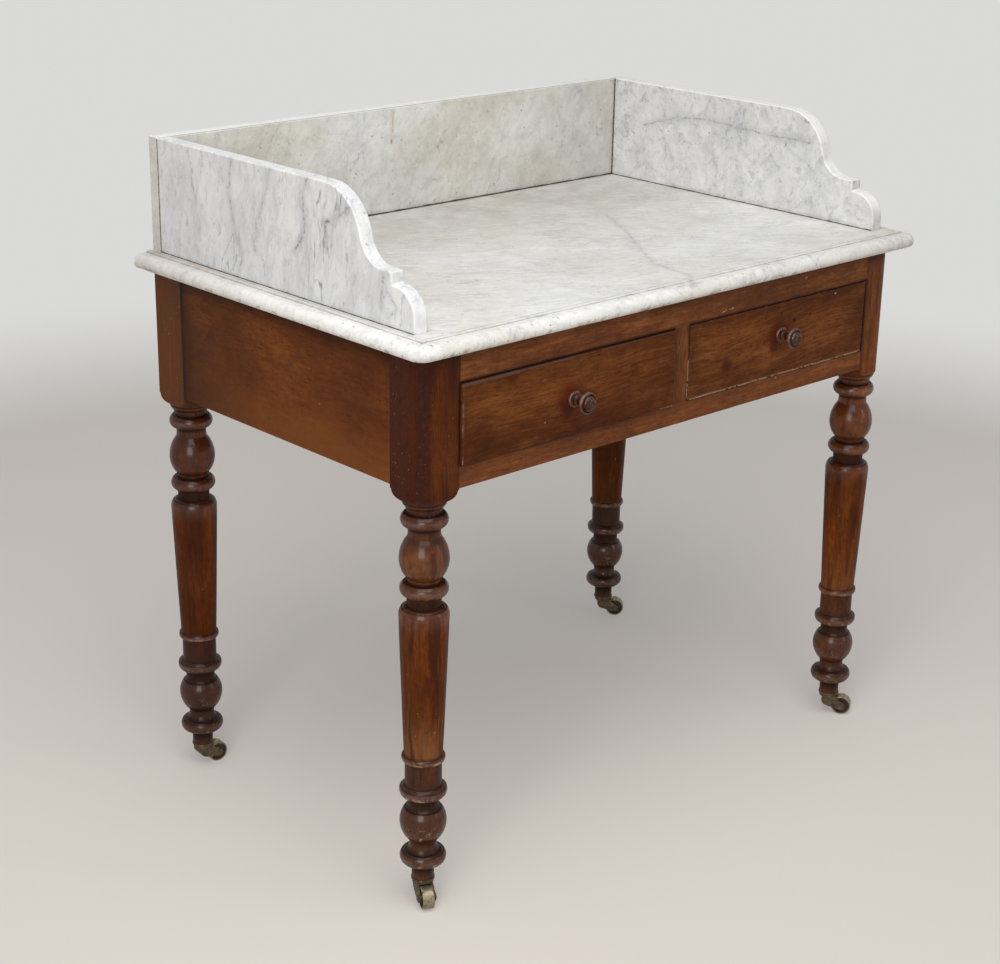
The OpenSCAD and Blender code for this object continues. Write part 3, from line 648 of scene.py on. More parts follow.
backVeins = [
    (onBack((-0.235, 0.902), (-0.261, 0.855)), 0.0014, 0.4),
    (onBack((0.089, 0.863), (0.058, 0.813), (0.026, 0.783)), 0.0012, 0.35),
]
rightVeins = [
    (onRight((0.21, 0.836), (0.14, 0.858), (0.068, 0.861), (-0.055, 0.856), (-0.116, 0.858)), 0.0016, 0.8),
    (onRight((-0.03, 0.89), (-0.055, 0.856), (-0.1, 0.83)), 0.001, 0.5),
]

# Stains and painted light: line, width, tint, depth
noseX, noseZ = slabAt["leftNose"]
# painted light: a paler band along the left nose, which faces the window
noseLight = [([(-noseX, slabAt["flatFront"], noseZ), (-noseX, slabBack, noseZ)], 0.019, "clean", 0.18)]
drips = [
    (onBack((-0.038, 0.893), (-0.040, 0.852)), 0.0065, "drip", 0.28),
    (onBack((-0.037, 0.893), (-0.038, 0.866)), 0.0018, "dripMiddle", 0.4),
    (onBack((-0.040, 0.853), (-0.040, 0.850)), 0.0024, "dripEnd", 0.7),
]


def onNose(paint):
    x, front = slabAt["flatX"], slabAt["flatFront"]
    return abs(paint.x).rise(x - 0.001, x + 0.002).most(paint.y.rise(front + 0.001, front - 0.002))


def onEdge(paint):  # painted light: the top edges of the splashes, which face up, made paler as the light from above falls on them
    return paint.facingUp().rise(0.15, 0.7) * paint.z.rise(slabTop + 0.0015, slabTop + 0.004)


# drift turns the streaks, in degrees, and stretch lengthens them. broad, mottle, streak, crinkle and web say
# how strong each layer of grey is; fine and crease how small two of them are. crackle and spotted are for the
# thin veins and dark spots; even, ticks and cleanedAndLit for the rubbed edge, whose paleness on the splashes'
# tops is painted light; warmth and tint for the whole slab.
slabLook = {"seed": 1.0, "drift": (0, 0, 30), "stretch": 0.6, "fine": 105, "broad": 0.6, "mottle": 0.85,
            "streak": 1.0, "crackle": 0.35, "warmth": 0.5, "spotted": 0.12, "ticks": 0.9,
            "crease": 46, "crinkle": 0.26, "web": 0.0, "cleanedAndLit": 0.12, "even": 0.2,
            "tint": (1.04, 1.03, 1.01)}
leftLook = {"seed": 2.3, "drift": (-6, 90, 0), "stretch": 0.42, "fine": 80, "broad": 1.3, "mottle": 1.0,
            "streak": 0.7, "crackle": 0.75, "warmth": 0.0, "spotted": 0.2, "ticks": 0.6,
            "crease": 40, "crinkle": 0.2, "web": 0.12, "cleanedAndLit": 0.1, "even": 0.1,
            "tint": (0.965, 0.972, 0.985)}
rightLook = {"seed": 4.1, "drift": (20, 60, 0), "stretch": 0.9, "fine": 60, "broad": 0.85, "mottle": 1.1,
             "streak": 0.2, "crackle": 0.7, "warmth": 0.2, "spotted": 0.45, "ticks": 0.2,
             "crease": 36, "crinkle": 0.22, "web": 0.36, "cleanedAndLit": 0.6, "even": 0.1,
             "tint": (0.935, 0.93, 0.925)}
backLook = {"seed": 5.6, "drift": (0, 53, 0), "stretch": 0.75, "fine": 70, "broad": 0.85, "mottle": 1.1,
            "streak": 0.25, "crackle": 0.45, "warmth": 0.75, "spotted": 0.5, "ticks": 0.2,
            "crease": 34, "crinkle": 0.16, "web": 0.14, "cleanedAndLit": 0.7, "even": 0.1,
            "tint": (0.935, 0.93, 0.905)}


def soiled(lines, width, depth):
    return [(line, width, depth) for line in lines]


# The wide band along backFoot is painted shade: the slab darker towards the back, where the splashes shade it
slabMarble = marble("marble_slab", slabLook, onNose, soiled(feet + [backFoot], 0.02, 0.3) + [
    (backFoot, 0.34, 0.5), (step, 0.0016, 0.75), (innerStep, 0.0018, 0.5),
    (feet[1], 0.0019, 0.4), (feet[3], 0.0019, 0.4)], slabVeins, noseLight)
leftMarble = marble("marble_left", leftLook, onEdge, soiled(feet[:2] + uprights[:1], 0.006, 0.3) + [
    (seams[0], 0.0014, 0.9), (feet[1], 0.0019, 0.35)], leftVeins)
rightMarble = marble("marble_right", rightLook, onEdge, soiled(feet[2:] + uprights[1:], 0.008, 0.4) + [
    (seams[1], 0.0014, 0.9)], rightVeins)
# The wide band along uprights[1] is painted shade: the back splash darker towards its right inner corner
backMarble = marble("marble_back", backLook, onEdge, soiled([backFoot] + uprights, 0.009, 0.4) + [
    (uprights[1], 0.3, 0.35)] + soiled(seams, 0.0014, 0.9), backVeins, drips)
soften("top_slab", "slab", slabMarble, slabAt["ease"])
for side, finish in (("back", backMarble), ("left", leftMarble), ("right", rightMarble)):
    soften(side + "_splash", "splash_" + side, finish, slabAt["splashEase"], 3, foot=slabTop)


# Joint lines: old putty, black with dirt, showing where the slabs meet

puttyLook = {
    "dark": (0.02, 0.015, 0.011),
    "mid": (0.055, 0.04, 0.028),
    "light": (0.2, 0.15, 0.1),
    "steps": 60,     # cross sections along each line
    "belly": 0.42,   # how far the line's middle stands out, as a share of its width
}


def putty():
    look = puttyLook
    paint = Paint("joint_putty", look)
    cloud = paint.noise(paint.place, 120, 4, 0.65)
    paint.colour = paint.ramp(cloud, [(0.35, look["dark"]), (0.55, look["mid"]), (0.78, look["light"])])
    return paint.finish({"Roughness": 0.85, "Normal": paint.bump(cloud, 0.0004, 0.6)})


def jointLine(name, start, end, faces, width):
    made = bmesh.new()
    rings = []
    first, second = (Vector(f) for f in faces)
    for i in range(puttyLook["steps"] + 1):
        at = Vector(start).lerp(Vector(end), i / puttyLook["steps"])
        swell = width * (0.75 + 0.25 * math.sin(i * 2.3) * math.sin(i * 0.71 + 1))
        rings.append([made.verts.new(at + offset * swell) for offset in (
            Vector(), first, (first + second) * puttyLook["belly"], second)])
    for ring, following in zip(rings, rings[1:]):
        for j in range(4):
            made.faces.new((ring[j], ring[(j + 1) % 4], following[(j + 1) % 4], following[j]))
    made.faces.new(rings[0])
    made.faces.new(rings[-1])
    bmesh.ops.recalc_face_normals(made, faces=made.faces)
    mesh = bpy.data.meshes.new(name)
    made.to_mesh(mesh)
    made.free()
    addPiece(mesh, jointPutty, "stand")


jointPutty = putty()
up, left, right, front, behind = (0, 0, 1), (-1, 0, 0), (1, 0, 0), (0, -1, 0), (0, 1, 0)


def footLine(name, x, faces, width):  # along a splash's foot, from its toe to the back
    jointLine(name, (x, toeY + 0.001, slabTop), (x, innerY, slabTop), faces, width)


def uprightLine(name, x, faces, width):
    jointLine(name, (x, innerY, slabTop), (x, innerY, splashTop - 0.0015), faces, width)


footLine("putty_left_inside", -innerX, (right, up), 0.0012)
footLine("putty_left_outside", -outerX, (left, up), 0.0011)
footLine("putty_right_inside", innerX, (left, up), 0.0014)
uprightLine("putty_end_left", -outerX, (left, behind), 0.0013)
uprightLine("putty_end_right", outerX, (right, behind), 0.0013)
footLine("putty_right_outside", outerX, (right, up), 0.0011)
jointLine("putty_back_inside", *backFoot, (front, up), 0.0023)
uprightLine("putty_corner_left", -innerX, (right, front), 0.0011)
uprightLine("putty_corner_right", innerX, (left, front), 0.0015)
print("marble laid")


# Frame: rails, aprons and divider

railTop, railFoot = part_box("top_rail")[0].z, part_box("bottom_rail")[1].z
dividerHalf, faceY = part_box("drawer_divider")[1].x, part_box("top_rail")[0].y
postHalf = 0.029
corners = ("front_left", "front_right", "back_left", "back_right")
legCentre = {corner: jointAt[f"caster_{corner}_swivel"]["pos_m"][:2] for corner in corners}
postFace = legCentre["front_right"][0] - postHalf   # the side of a post that faces the drawers
backJoint = legCentre["back_left"][1] - postHalf    # where the side aprons meet the back posts


def onFront(*points):
    return [(x, faceY, z) for x, z in points]


shadedOpenings = {  # painted shade: the frame's edges beside the drawers, darkened because the gaps round the drawers lie in shadow
    "top_rail": [onFront((side * postFace, railTop), (side * dividerHalf, railTop)) for side in (-1, 1)],
    "bottom_rail": [onFront((side * postFace, railFoot), (side * dividerHalf, railFoot)) for side in (-1, 1)],
    "drawer_divider": [onFront((side * dividerHalf, railFoot), (side * dividerHalf, railTop))
                       for side in (-1, 1)],
}
rubbedEdges = {  # edges beside the drawers where the finish has gone, and how wide it has gone
    "drawer_divider": [(onFront((-0.0143, 0.595), (-0.0143, 0.630)), 0.0016),
                       (onFront((0.0143, 0.588), (0.0143, 0.640)), 0.0016)],
    "bottom_rail": [(onFront((-0.036, 0.586), (-0.014, 0.5855)), 0.0016),
                    (onFront((0.193, 0.583), (0.195, 0.582)), 0.0016),
                    (onFront((0.018, 0.5866), (0.374, 0.5866)), 0.0010)],
    "top_rail": [(onFront((0.074, 0.695), (0.097, 0.6965)), 0.0016),
                 (onFront((0.244, 0.713), (0.246, 0.714)), 0.0016)],
}
shading = {  # from where to where each shade rises from none to full
    "shadeUnderSlab": (0.706, 0.74),
    "litDown": (0.69, 0.57),
    "litForward": (0.26, 0.06),
    "rear": (-0.02, 0.22),
}


def rubbedLine(points, width):
    def mask(paint):
        gap = paint.toLine(paint.swayed(paint.place, 60, 0.0012), points)
        return gap.rise(width, width * 0.4) * paint.noise(paint.place, 110, 4, 0.7).rise(0.4, 0.5)
    return mask


def shadeUnderSlab(paint):  # painted shade: a dark band under the slab's nose, where its overhang shades the wood, with some soot
    rough = paint.noise(paint.place, 26, 4, 0.65) * 0.014
    return (paint.z + rough).rise(*shading["shadeUnderSlab"])


def litLowAndFront(paint):  # painted light: the lower, front part of the sides made paler, where the window light falls and the slab shades less
    height = paint.z + paint.noise(paint.place, 9, 4, 0.6) * 0.08
    return height.rise(*shading["litDown"]) * paint.y.rise(*shading["litForward"])


def paintedSheen(paint):  # painted sheen: a thin pale haze over the front, thicker in patches, standing for the wax's reflection of the room
    return paint.noise(paint.place, 24, 4, 0.65) * 1.2


def rearShade(paint):  # the rear half of the sides, which stands away from the windows
    patches = paint.noise(paint.place, 14, 4, 0.6).rise(0.2, 0.7)
    return paint.y.rise(*shading["rear"]) * patches


boards = {  # node: grain direction, seed, shade, redness, gloss, how pale the edges are
    "side_apron_left": (1, 1.2, 1.2, 0.0, 0.35, 0.25),
    "side_apron_right": (1, 2.9, 1.0, 0.0, 0.35, 0.25),
    "back_apron": (0, 3.3, 0.8, 0.0, 0.15, 0.2),
    "top_rail": (0, 4.7, 1.9, -0.05, 0.5, 0.3),
    "bottom_rail": (0, 5.2, 2.05, -0.04, 0.5, 0.3),
    "drawer_divider": (2, 6.1, 1.25, -0.03, 0.45, 0.4),
}


def makeBoard(node, grain, seed, shade, red, gloss, edge):
    isSide = node.startswith("side")
    low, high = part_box(node)
    shadeLines = [(line, 0.0042, "soot", 0.9) for line in shadedOpenings.get(node, [])]
    marks = [(shadeUnderSlab, "soot", 0.88 if isSide else 0.3)]
    if isSide:
        # painted shade: a dark band and a black line on the side apron beside the back post, which stands proud of
        # it
        face = low.x if node.endswith("left") else high.x
        joint = [(face, backJoint, z) for z in (low.z, high.z)]
        shadeLines += [(joint, 0.036, "dark", 0.6), (joint, 0.0100, "soot", 0.95)]
        marks += [(litLowAndFront, "light", 0.55), (rearShade, "rear", 0.6)]
    else:
        marks.append((paintedSheen, "bloom", 0.2))
    marks += [(rubbedLine(line, width), "nick", 0.8) for line, width in rubbedEdges.get(node, [])]
    finish = mahogany("mahogany_" + node, grain, seed, shade, red, gloss, (low, high), edge, shadeLines, marks,
                      streaky=0.6 if isSide else 1.35)
    soften(node, node.replace("_", "-"), finish, 0.0006)


for node, board in boards.items():
    makeBoard(node, *board)
print("frame boards cut")


# Legs: square posts over turned legs

leg = {
    "postFoot": 0.546,
    "ease": 0.0005,
    "hollowReach": 4,       # how far along the leg, in mm, the rims that shade a hollow may lie
    "hollowDepth": 0.008,   # depth at which old polish is black
    "rimReach": 7,          # how far along the leg, in mm, a rim stands over its neighbours
    "rimHeight": 0.004,
    "rimRound": 0.0009,
    "shaft": (0.2106, 0.388),
    "bulb": 0.462,
    "ball": 0.106,
    "ballSkin": (0.022, 0.025),
    "soiled": (0.225, 0.17),
    "paleShaft": (0.34, 0.2),
    "specks": (0.32, 0.26),
    "casterTop": (0.05, 0.07),
}
legLook = {  # post: how dark it is; low: how pale the shaft is low down; worn: how knocked about the leg is
    "front_left": {"seed": 7.7, "shade": 0.9, "red": 0.13, "post": 0.78,
                   "low": 0.68, "worn": 1.0, "bulb": 0.3},
    "front_right": {"seed": 8.8, "shade": 1.32, "red": 0.09, "post": 0.1,
                    "low": 0.35, "worn": 0.25, "bulb": 0.1},
    "back_left": {"seed": 9.9, "shade": 0.67, "red": 0.18, "post": -0.25,
                  "low": 0.0, "worn": 0.3, "bulb": 0.0},
    "back_right": {"seed": 11.3, "shade": 0.69, "red": 0.12, "post": 0.2,
                   "low": 0.0, "worn": 0.3, "bulb": 0.0},
}


def markHollows(piece, centre):
    points = [(math.hypot(v.co.x - centre[0], v.co.y - centre[1]), v.co.z) for v in piece.data.vertices]
    rows = {}
    for radius, z in points:
        row = round(z * 1000)
        rows[row] = max(radius, rows.get(row, 0))
    hollow = piece.data.attributes.new("hollow", "FLOAT", "POINT")
    proud = piece.data.attributes.new("proud", "FLOAT", "POINT")
    for entry, rim, (radius, z) in zip(hollow.data, proud.data, points):
        row, reach = round(z * 1000), leg["hollowReach"]
        near = [rows[i] for i in range(row - reach, row + reach + 1) if i in rows]
        far = [rows[i] for i in range(row - leg["rimReach"], row + leg["rimReach"] + 1) if i in rows]
        shaded = z < leg["postFoot"] - 0.002
        entry.value = min(1, max(0, (max(near) - radius) / leg["hollowDepth"])) if shaded else 0
        standing = min(1, (radius - min(far)) / leg["rimHeight"])
        rim.value = standing * max(0, 1 - (max(far) - radius) / leg["rimRound"]) if shaded else 0


def onPost(paint):
    return paint.z.rise(leg["postFoot"] - 0.004, leg["postFoot"] + 0.004)


def polished(paint):  # the beads and balls shine, the shaft less, and the post least
    foot, head = leg["shaft"]
    shaft = paint.z.rise(foot - 0.004, foot + 0.004) * paint.z.rise(head + 0.012, head - 0.012)
    return (1.25 - shaft * 1.22) * (1 - onPost(paint) * 0.9)


def darkCorner(paint):  # the post's side and rounded corner, darker than its front
    front = paint.y.rise(faceY + 0.004, faceY + 0.001)
    return onPost(paint) * (1 - front * 0.6)


def darkBands(paint):  # old stain, which runs down the post and the shaft in bands
    narrow = paint.vector("MULTIPLY", paint.swayed(paint.place, 12, 0.01), (1, 1, 0.07))
    return paint.noise(narrow, 95, 4, 0.6).rise(0.46, 0.66) * ringTops(paint).rise(0.6, 0.2)


def ringTops(paint):  # surfaces that face up, which dust and polish have darkened
    return paint.facingUp().rise(0.1, 0.75) * (1 - onPost(paint))


def rimSheen(paint):  # painted highlight and wear: the rims of rings and beads made paler and greyer, worn bare by hands and dusters and catching the light
    proud = paint.node("Attribute", {"attribute_name": "proud"}, out="Fac")
    return proud.rise(0.25, 0.95) * paint.noise(paint.place, 55, 5, 0.7).rise(0.34, 0.6)


def wornFinish(paint):  # patches where the finish of the beads and balls has darkened
    patches = paint.noise(paint.swayed(paint.place, 50, 0.01), 75, 5, 0.72).rise(0.48, 0.64)
    return patches * polished(paint)


def crusted(paint):  # old varnish, gathered in dark grains on the post
    grains = paint.noise(paint.swayed(paint.place, 90, 0.006), 150, 5, 0.75).rise(0.52, 0.62)
    return grains * darkCorner(paint) * paint.noise(paint.place, 28, 3).rise(0.36, 0.6)


def flecked(paint):  # pale flecks in the old varnish
    return paint.specks(paint.swayed(paint.place, 300, 0.003), 190, 0.2, 0.22) * darkCorner(paint)


def shadeBesideDrawer(side):  # painted shade: the post's edge next to a drawer, dark because the gap beside it lies in shadow
    edge = onFront((side * postFace, railFoot), (side * postFace, railTop))

    def mask(paint):
        gap = paint.toLine(paint.swayed(paint.place, 130, 0.0025), edge)
        return gap.rise(0.0045, 0.0015)
    return mask


def shadeBesideApron(paint):  # painted shade: a black strip on the back posts' faces next to the aprons, where the joint lies in shadow
    return paint.y.rise(backJoint + 0.0026, backJoint + 0.0008) * onPost(paint)


def footSoil(paint):  # brown-grey soil low down, where brooms and mops reach
    return (paint.z + paint.noise(paint.place, 30, 4, 0.65) * 0.03).rise(*leg["soiled"])


def paleShaft(paint):  # the lower shaft, paler in streaks
    foot = leg["shaft"][0]
    streaks = paint.vector("MULTIPLY", paint.swayed(paint.place, 9, 0.02), (1, 1, 0.12))
    height = paint.z + paint.noise(streaks, 55, 4, 0.65) * 0.1
    return paint.z.rise(foot - 0.003, foot + 0.003) * height.rise(*leg["paleShaft"])


def bulbHighlight(paint):  # painted highlight: the bulb made paler in patches, where it catches a broad soft highlight
    patches = paint.noise(paint.swayed(paint.place, 30, 0.01), 45, 4, 0.65).rise(0.3, 0.62)
    return abs(paint.z - leg["bulb"]).rise(0.03, 0.018) * patches


def shaftSpecks(paint):  # pores and fly specks on the lower shaft
    stretched = paint.vector("MULTIPLY", paint.swayed(paint.place, 300, 0.002), (1, 1, 0.4))
    low = (paint.z + paint.noise(paint.place, 50, 3) * 0.04).rise(*leg["specks"])
    return paint.specks(stretched, 200, 0.2, 0.45) * (low * paint.z.rise(*leg["casterTop"]))


def scuffs(centre):  # knocks on the ball
    def mask(paint):
        low = abs(paint.z - leg["ball"]).rise(0.013, 0.005)
        out = paint.fromAxis((*centre, 0), (1, 1, 0)).rise(*leg["ballSkin"])
        broken = paint.noise(paint.swayed(paint.place, 150, 0.006), 120, 3, 0.7).rise(0.57, 0.64)
        return low * out * broken
    return mask


def rimWear(centre, height, spread, radius):  # pale wear on a rim that feet and brooms knock
    def mask(paint):
        out = paint.fromAxis((*centre, 0), (1, 1, 0)).rise(radius - 0.002, radius - 0.001)
        broken = paint.noise(paint.place, 95, 4, 0.7).rise(0.5, 0.64)
        return abs(paint.z - height).rise(spread, spread * 0.4) * out * broken
    return mask


wornRims = {  # height, spread and radius of the rims that feet and brooms knock
    "thin ring": (0.2035, 0.0022, 0.0262),
    "foot ring": (0.1560, 0.0030, 0.0285),
    "toe ring": (0.0610, 0.0035, 0.0270),
}


def makeLeg(corner, centre, look):
    node = "leg_" + corner
    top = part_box(node)[1].z
    reach = Vector((postHalf, postHalf, 0))
    postBox = (Vector((*centre, leg["postFoot"])) - reach, Vector((*centre, top)) + reach)
    marks = [(paleShaft, "pale", look["low"]), (bulbHighlight, "light", look["bulb"]),
             (darkBands, "dark", 0.6 + look["worn"] * 0.15),
             (ringTops, "dark", 0.6), (footSoil, "soil", 0.4),
             (wornFinish, "dark", 0.45), (rimSheen, "rim", 0.42),
             (shaftSpecks, "pore", 0.7 * look["worn"])]
    marks += [(rimWear(centre, *rim), "nick", 0.35 + look["worn"] * 0.35) for rim in wornRims.values()]
    marks += [(scuffs(centre), "nick", 0.75 * look["worn"]), (shadeUnderSlab, "soot", 0.8)]
    if corner.startswith("front"):
        marks.append((shadeBesideDrawer(math.copysign(1, centre[0])), "soot", 0.85))
    else:
        marks.append((shadeBesideApron, "soot", 0.85))
    if look["post"] > 0:
        marks.append((darkCorner, "stain", look["post"]))
    if corner == "front_left":  # the outer corner, with a darker band down its rounded edge
        edge = [(centre[0] - postHalf + 0.004, faceY + 0.004, z) for z in (leg["postFoot"], top)]
        marks += [(rubbedLine(edge, 0.016), "corner", 0.7), (crusted, "soot", 0.62), (flecked, "nick", 0.5)]
    if look["post"] < 0:
        marks.append((onPost, "light", -look["post"]))
    finish = mahogany("mahogany_" + node, 2, look["seed"], look["shade"], look["red"], 0.75, postBox, 0.3,
                      marks=marks, polish=polished, knocked=look["worn"] * 0.7, blue=0.5)
    markHollows(soften(node, node.replace("_", "-"), finish, leg["ease"]), centre)


for corner, centre in legCentre.items():
    makeLeg(corner, centre, legLook[corner])
print("legs turned")


# Drawers

drawer = {
    "ease": 0.0009,
    "liningEase": 0.0006,
    "linings": {"side_left": 1, "side_right": 1, "back": 0, "bottom": 0},   # and which way the grain runs
}
knob = {  # radii and depths in metres; each pair is from none to full
    "halo": (0.034, 0.008),
    "shade": (0.015, 0.003),
    "shadeAt": (-0.011, 0, -0.016),
    "head": (0.0122, 0.0136),
    "rose": (0.0086, 0.0100),
    "roseDepth": (-0.006, -0.004),
}
drawerLook = {  # seed, shade, redness
    "left": (12.4, 0.96, 0.0),
    "right": (13.7, 1.15, -0.03),
}
wornEdges = {  # edge of the front: finish, width, strength, how much of it is left
    "left": {"top": ("bloom", 0.0042, 0.8, 0.3), "top mid": ("bloom", 0.0028, 0.75, 0.34),
             "top far": ("bloom", 0.0014, 0.8, 0.36),
             "near": ("bloom", 0.0030, 0.5, 0.42), "near nicks": ("nick", 0.0012, 0.4, 0.5),
             "far": ("nick", 0.0013, 0.6, 0.54), "foot": ("bloom", 0.0012, 0.5, 0.45)},
    "right": {"foot": ("worn", 0.0014, 0.9, 0.36), "top": ("worn", 0.0012, 0.4, 0.5),
              "top far": ("worn", 0.0012, 0.4, 0.5),
              "far": ("nick", 0.0014, 0.7, 0.55), "near": ("worn", 0.0010, 0.4, 0.5)},
}
frontSpots = {  # place on the front, radius, tint, strength
    "left": [((-0.091, 0.649), 0.013, "dark", 0.35), ((-0.30, 0.678), 0.012, "dark", 0.4),
             ((-0.245, 0.612), 0.002, "nick", 0.5), ((-0.345, 0.62), 0.03, "dark", 0.45)],
    "right": [((0.090, 0.620), 0.013, "dark", 0.65), ((0.311, 0.681), 0.0022, "nick", 1.0),
              ((0.225, 0.658), 0.0045, "soot", 0.75), ((0.197, 0.672), 0.003, "soot", 0.6),
              ((0.258, 0.661), 0.0025, "soot", 0.6), ((0.137, 0.638), 0.0035, "soot", 0.45),
              ((0.164, 0.636), 0.003, "soot", 0.45), ((0.365, 0.64), 0.04, "dark", 0.45)],
}
frontEdges = {  # the ends of each edge, as shares of the front's width and height
    "top": ((0, 1), (0.24, 1)),
    "top mid": ((0.2, 1), (0.5, 1)),
    "top far": ((0.4, 1), (1, 1)),
    "foot": ((0, 0), (1, 0)),
    "near": ((0, 0), (0, 1)),
    "near nicks": ((0, 0), (0, 0.8)),
    "far": ((1, 0), (1, 1)),
}


def frontEdge(node, edge):
    low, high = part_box(node)
    return [(low.x + (high.x - low.x) * x, low.y, low.z + (high.z - low.z) * z) for x, z in frontEdges[edge]]


def wornEdge(line, width, left):
    def mask(paint):
        gap = paint.toLine(paint.swayed(paint.place, 60, 0.0014), line)
        return gap.rise(width, width * 0.4) * paint.noise(paint.place, 70, 5, 0.72).rise(left, left + 0.12)
    return mask


def knobHalo(at):  # the dark halo that years of hands leave round the knob
    def mask(paint):
        return paint.vector("DISTANCE", paint.swayed(paint.place, 40, 0.02), at, out=1).rise(*knob["halo"])
    return mask


def knobShade(at):  # painted shadow: a darker patch below and left of the knob, where its shadow falls on the front
    under = tuple(Vector(at) + Vector(knob["shadeAt"]))

    def mask(paint):
        gap = paint.vector("DISTANCE", paint.swayed(paint.place, 50, 0.006), under, out=1)
        return gap.rise(*knob["shade"])
    return mask


def spot(at, y, radius):  # a mark on the drawer's front
    def mask(paint):
        place = paint.swayed(paint.place, 140, radius * 0.7)
        return paint.vector("DISTANCE", place, (at[0], y, at[1]), out=1).rise(radius * 1.1, radius * 0.3)
    return mask


def knobRims(at):  # the rims of the knob's head and rose, made pale: rubbed by fingers, and partly a painted highlight
    def mask(paint):
        out = paint.fromAxis(at, (1, 0, 1))
        rose = out.rise(*knob["rose"]) * paint.y.rise(*(at[1] + depth for depth in knob["roseDepth"]))
        return out.rise(*knob["head"]).most(rose) * paint.noise(paint.place, 160, 4, 0.7).rise(0.3, 0.6)
    return mask


def allOver(paint):  # a knob's polish, thicker in patches
    return paint.noise(paint.place, 60).rise(0.2, 0.6) * 1.6


def shadeInGap(paint):  # painted shade: the drawer front's edges inside the gap, dark because the gap lies in shadow
    return paint.y.rise(faceY + 0.0008, faceY + 0.0025)


def makeDrawer(side, seed, shade, red):
    node = side + "_drawer_front"
    low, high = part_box(side + "_drawer_knob")
    knobAt = ((low.x + high.x) / 2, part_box(node)[0].y, (low.z + high.z) / 2)
    marks = [(knobHalo(knobAt), "halo", 0.75), (knobShade(knobAt), "soot", 0.55)]
    marks += [(spot(at, knobAt[1], radius), tint, depth) for at, radius, tint, depth in frontSpots[side]]
    marks += [(wornEdge(frontEdge(node, edge), width, left), tint, depth)
              for edge, (tint, width, depth, left) in wornEdges[side].items()]
    marks += [(shadeInGap, "soot", 0.8)]
    finish = mahogany("mahogany_" + node, 0, seed, shade, red, 0.4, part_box(node), 0.12, marks=marks,
                      streaky=1.3)
    soften(node, node.replace("_", "-"), finish, drawer["ease"])
    turned = mahogany("mahogany_knob_" + side, 1, seed + 3, 0.42, 0.1, 0.9, polish=allOver,
                      marks=[(knobRims(knobAt), "worn", 0.5)])
    dress(side + "_drawer_knob", turned)
    for i, (part, grain) in enumerate(drawer["linings"].items()):
        node = f"{side}_drawer_{part}"
        finish = liningWood("lining_" + node, grain, seed + i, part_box(node))
        soften(node, node.replace("_", "-"), finish, drawer["liningEase"])


for side, drawerFinish in drawerLook.items():
    makeDrawer(side, *drawerFinish)
runnerWood = {grain: liningWood("lining_runners_" + "xy"[grain], grain, 20 + grain, shade=0.8)
              for grain in (0, 1)}
for node in nodes:
    if node.startswith(("runner", "guide", "kicker")):
        dress(node, runnerWood[1])
dress("drawer_stops", runnerWood[0])
print("drawers fitted")


# Casters

caster = {
    "treadRadius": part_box("caster_wheel_front_left")[1].z / 2,
    "tread": (0.0020, 0.0008, 0.6),   # the rubbed tread: depths inside the rim, none to full, and strength
    "disc": (0.0020, 0.0040, 1.0),    # the same for the black disc inside it
}


def onWheel(at, axis, none, full, depth):  # by the distance from the wheel's axle
    def mask(paint):
        away = paint.vector("SUBTRACT", paint.place, tuple(at))
        flat = paint.vector("DOT_PRODUCT", away, tuple(axis), out=1)
        out = paint.vector("LENGTH", away, out=1)
        radius = paint.node("Math", {"operation": "SQRT"}, {0: (out * out - flat * flat).most(0)})
        return radius.rise(caster["treadRadius"] - none, caster["treadRadius"] - full) * depth
    return mask


def makeCaster(i, corner):
    spin = jointAt[f"wheel_{corner}_spin"]
    tread, disc = [onWheel(spin["pos_m"], spin["axis"], *caster[ring]) for ring in ("tread", "disc")]
    dress("caster_wheel_" + corner, agedBrass("brass_wheel_" + corner, 30 + i, tread, disc))
    for part in ("plate", "horn", "axle"):
        dress(f"caster_{part}_{corner}", agedBrass(f"brass_{part}_{corner}", 40 + i * 3))


for i, corner in enumerate(corners):
    makeCaster(i, corner)
print("casters fitted")


# Floor, backdrop and light

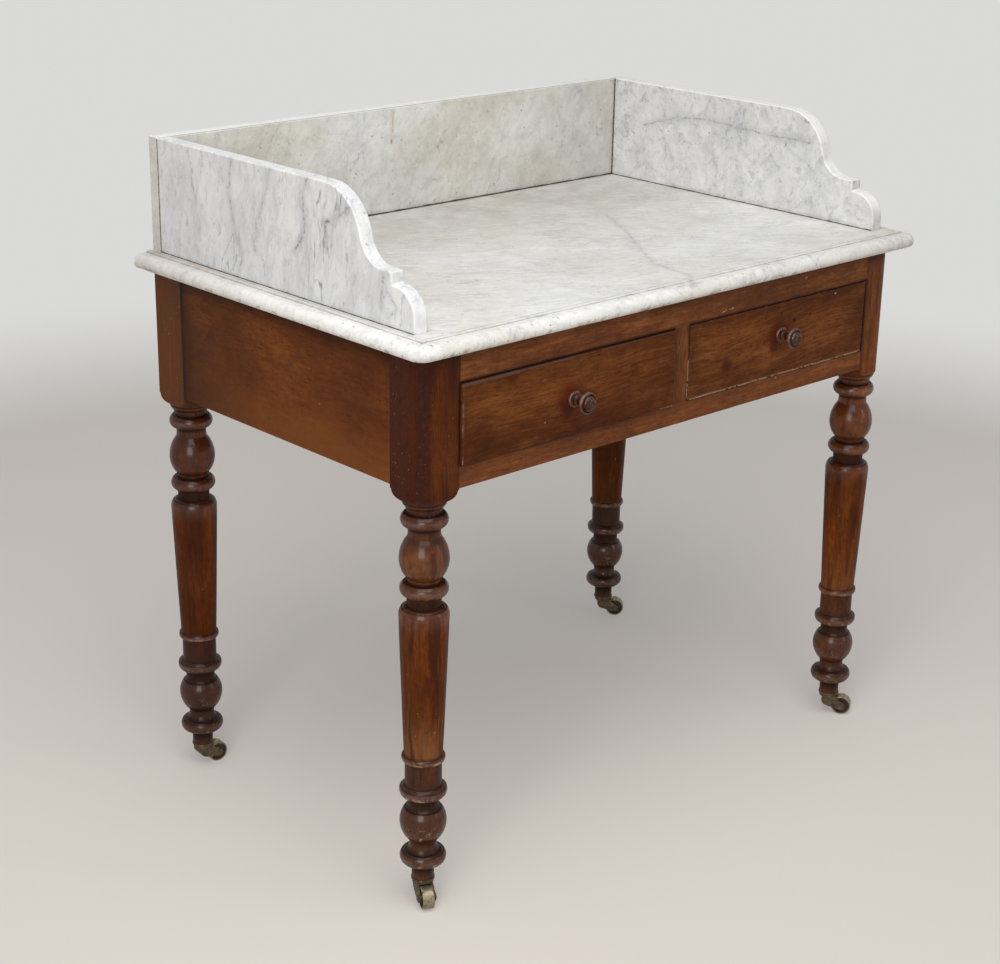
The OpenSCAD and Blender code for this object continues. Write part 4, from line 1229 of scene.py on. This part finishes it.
studio = {
    "floor": (0.76, 0.68, 0.605),
    "backdrop": (0.70, 0.70, 0.69),
    "floorReach": 1.15,     # from the middle of the object to where the floor starts to fade
    "fade": 1.6,
    "airy": 0.3,
    "sky": (0.93, 0.96, 1.0),
    "skyLevel": 0.27,
    "floorHalf": 60,
    "aim": (0, 0, 0.5),     # what the lamps point at
}
lamps = {  # place, width, height, watts, tint
    "window": ((-2.5, -1.75, 1.45), 1.3, 1.5, 36, (1.0, 0.99, 0.98)),
    "ceiling": ((-0.8, -0.9, 2.8), 2.2, 2.2, 54, (1.0, 1.0, 1.0)),
    "second window": ((1.8, -3.2, 1.8), 0.6, 1.4, 7, (1.0, 0.99, 0.98)),
}


def addFloor():
    mesh = bpy.data.meshes.new("floor")
    half = studio["floorHalf"]
    outline = [(-half, -half, 0), (half, -half, 0), (half, half, 0), (-half, half, 0)]
    mesh.from_pydata(outline, [], [(0, 1, 2, 3)])
    floor = bpy.data.objects.new("floor", mesh)
    bpy.context.scene.collection.objects.link(floor)
    paint = Paint("floor")
    out = paint.vector("LENGTH", paint.place, out=1)
    far = out.rise(studio["floorReach"], studio["floorReach"] + studio["fade"])
    near = paint.node("BsdfDiffuse", {}, {"Color": studio["floor"]})
    beyond = paint.node("Emission", {}, {"Color": studio["backdrop"], "Strength": 1})
    # What the camera sees of the floor near by is part backdrop, which keeps the shadow soft
    share = far.most(studio["airy"]) * paint.looking()
    both = paint.node("MixShader", {}, {0: share, 1: near, 2: beyond})
    paint.node("OutputMaterial", {}, {"Surface": both})
    mesh.materials.append(paint.owner)


def addSky():
    world = bpy.data.worlds.new("sky")
    bpy.context.scene.world = world
    shader = Shader(world)
    sky = shader.node("Background", {}, {"Color": studio["sky"], "Strength": studio["skyLevel"]})
    room = shader.node("Background", {}, {"Color": studio["backdrop"], "Strength": 1})
    both = shader.node("MixShader", {}, {0: shader.looking(), 1: sky, 2: room})
    shader.node("OutputWorld", {}, {"Surface": both})


def addLamp(name, place, width, height, watts, tint):
    data = bpy.data.lights.new(name, "AREA")
    data.shape = "RECTANGLE"
    data.size, data.size_y = width, height
    data.energy = watts
    data.color = tint
    lamp = bpy.data.objects.new(name, data)
    lamp.location = place
    lamp.visible_camera = False
    lamp.rotation_mode = "QUATERNION"
    lamp.rotation_quaternion = (Vector(studio["aim"]) - Vector(place)).to_track_quat("-Z", "Y")
    bpy.context.scene.collection.objects.link(lamp)


bpy.context.scene.view_settings.view_transform = "Standard"
addFloor()
addSky()
for name, lamp in lamps.items():
    addLamp(name, *lamp)
print("studio lit")
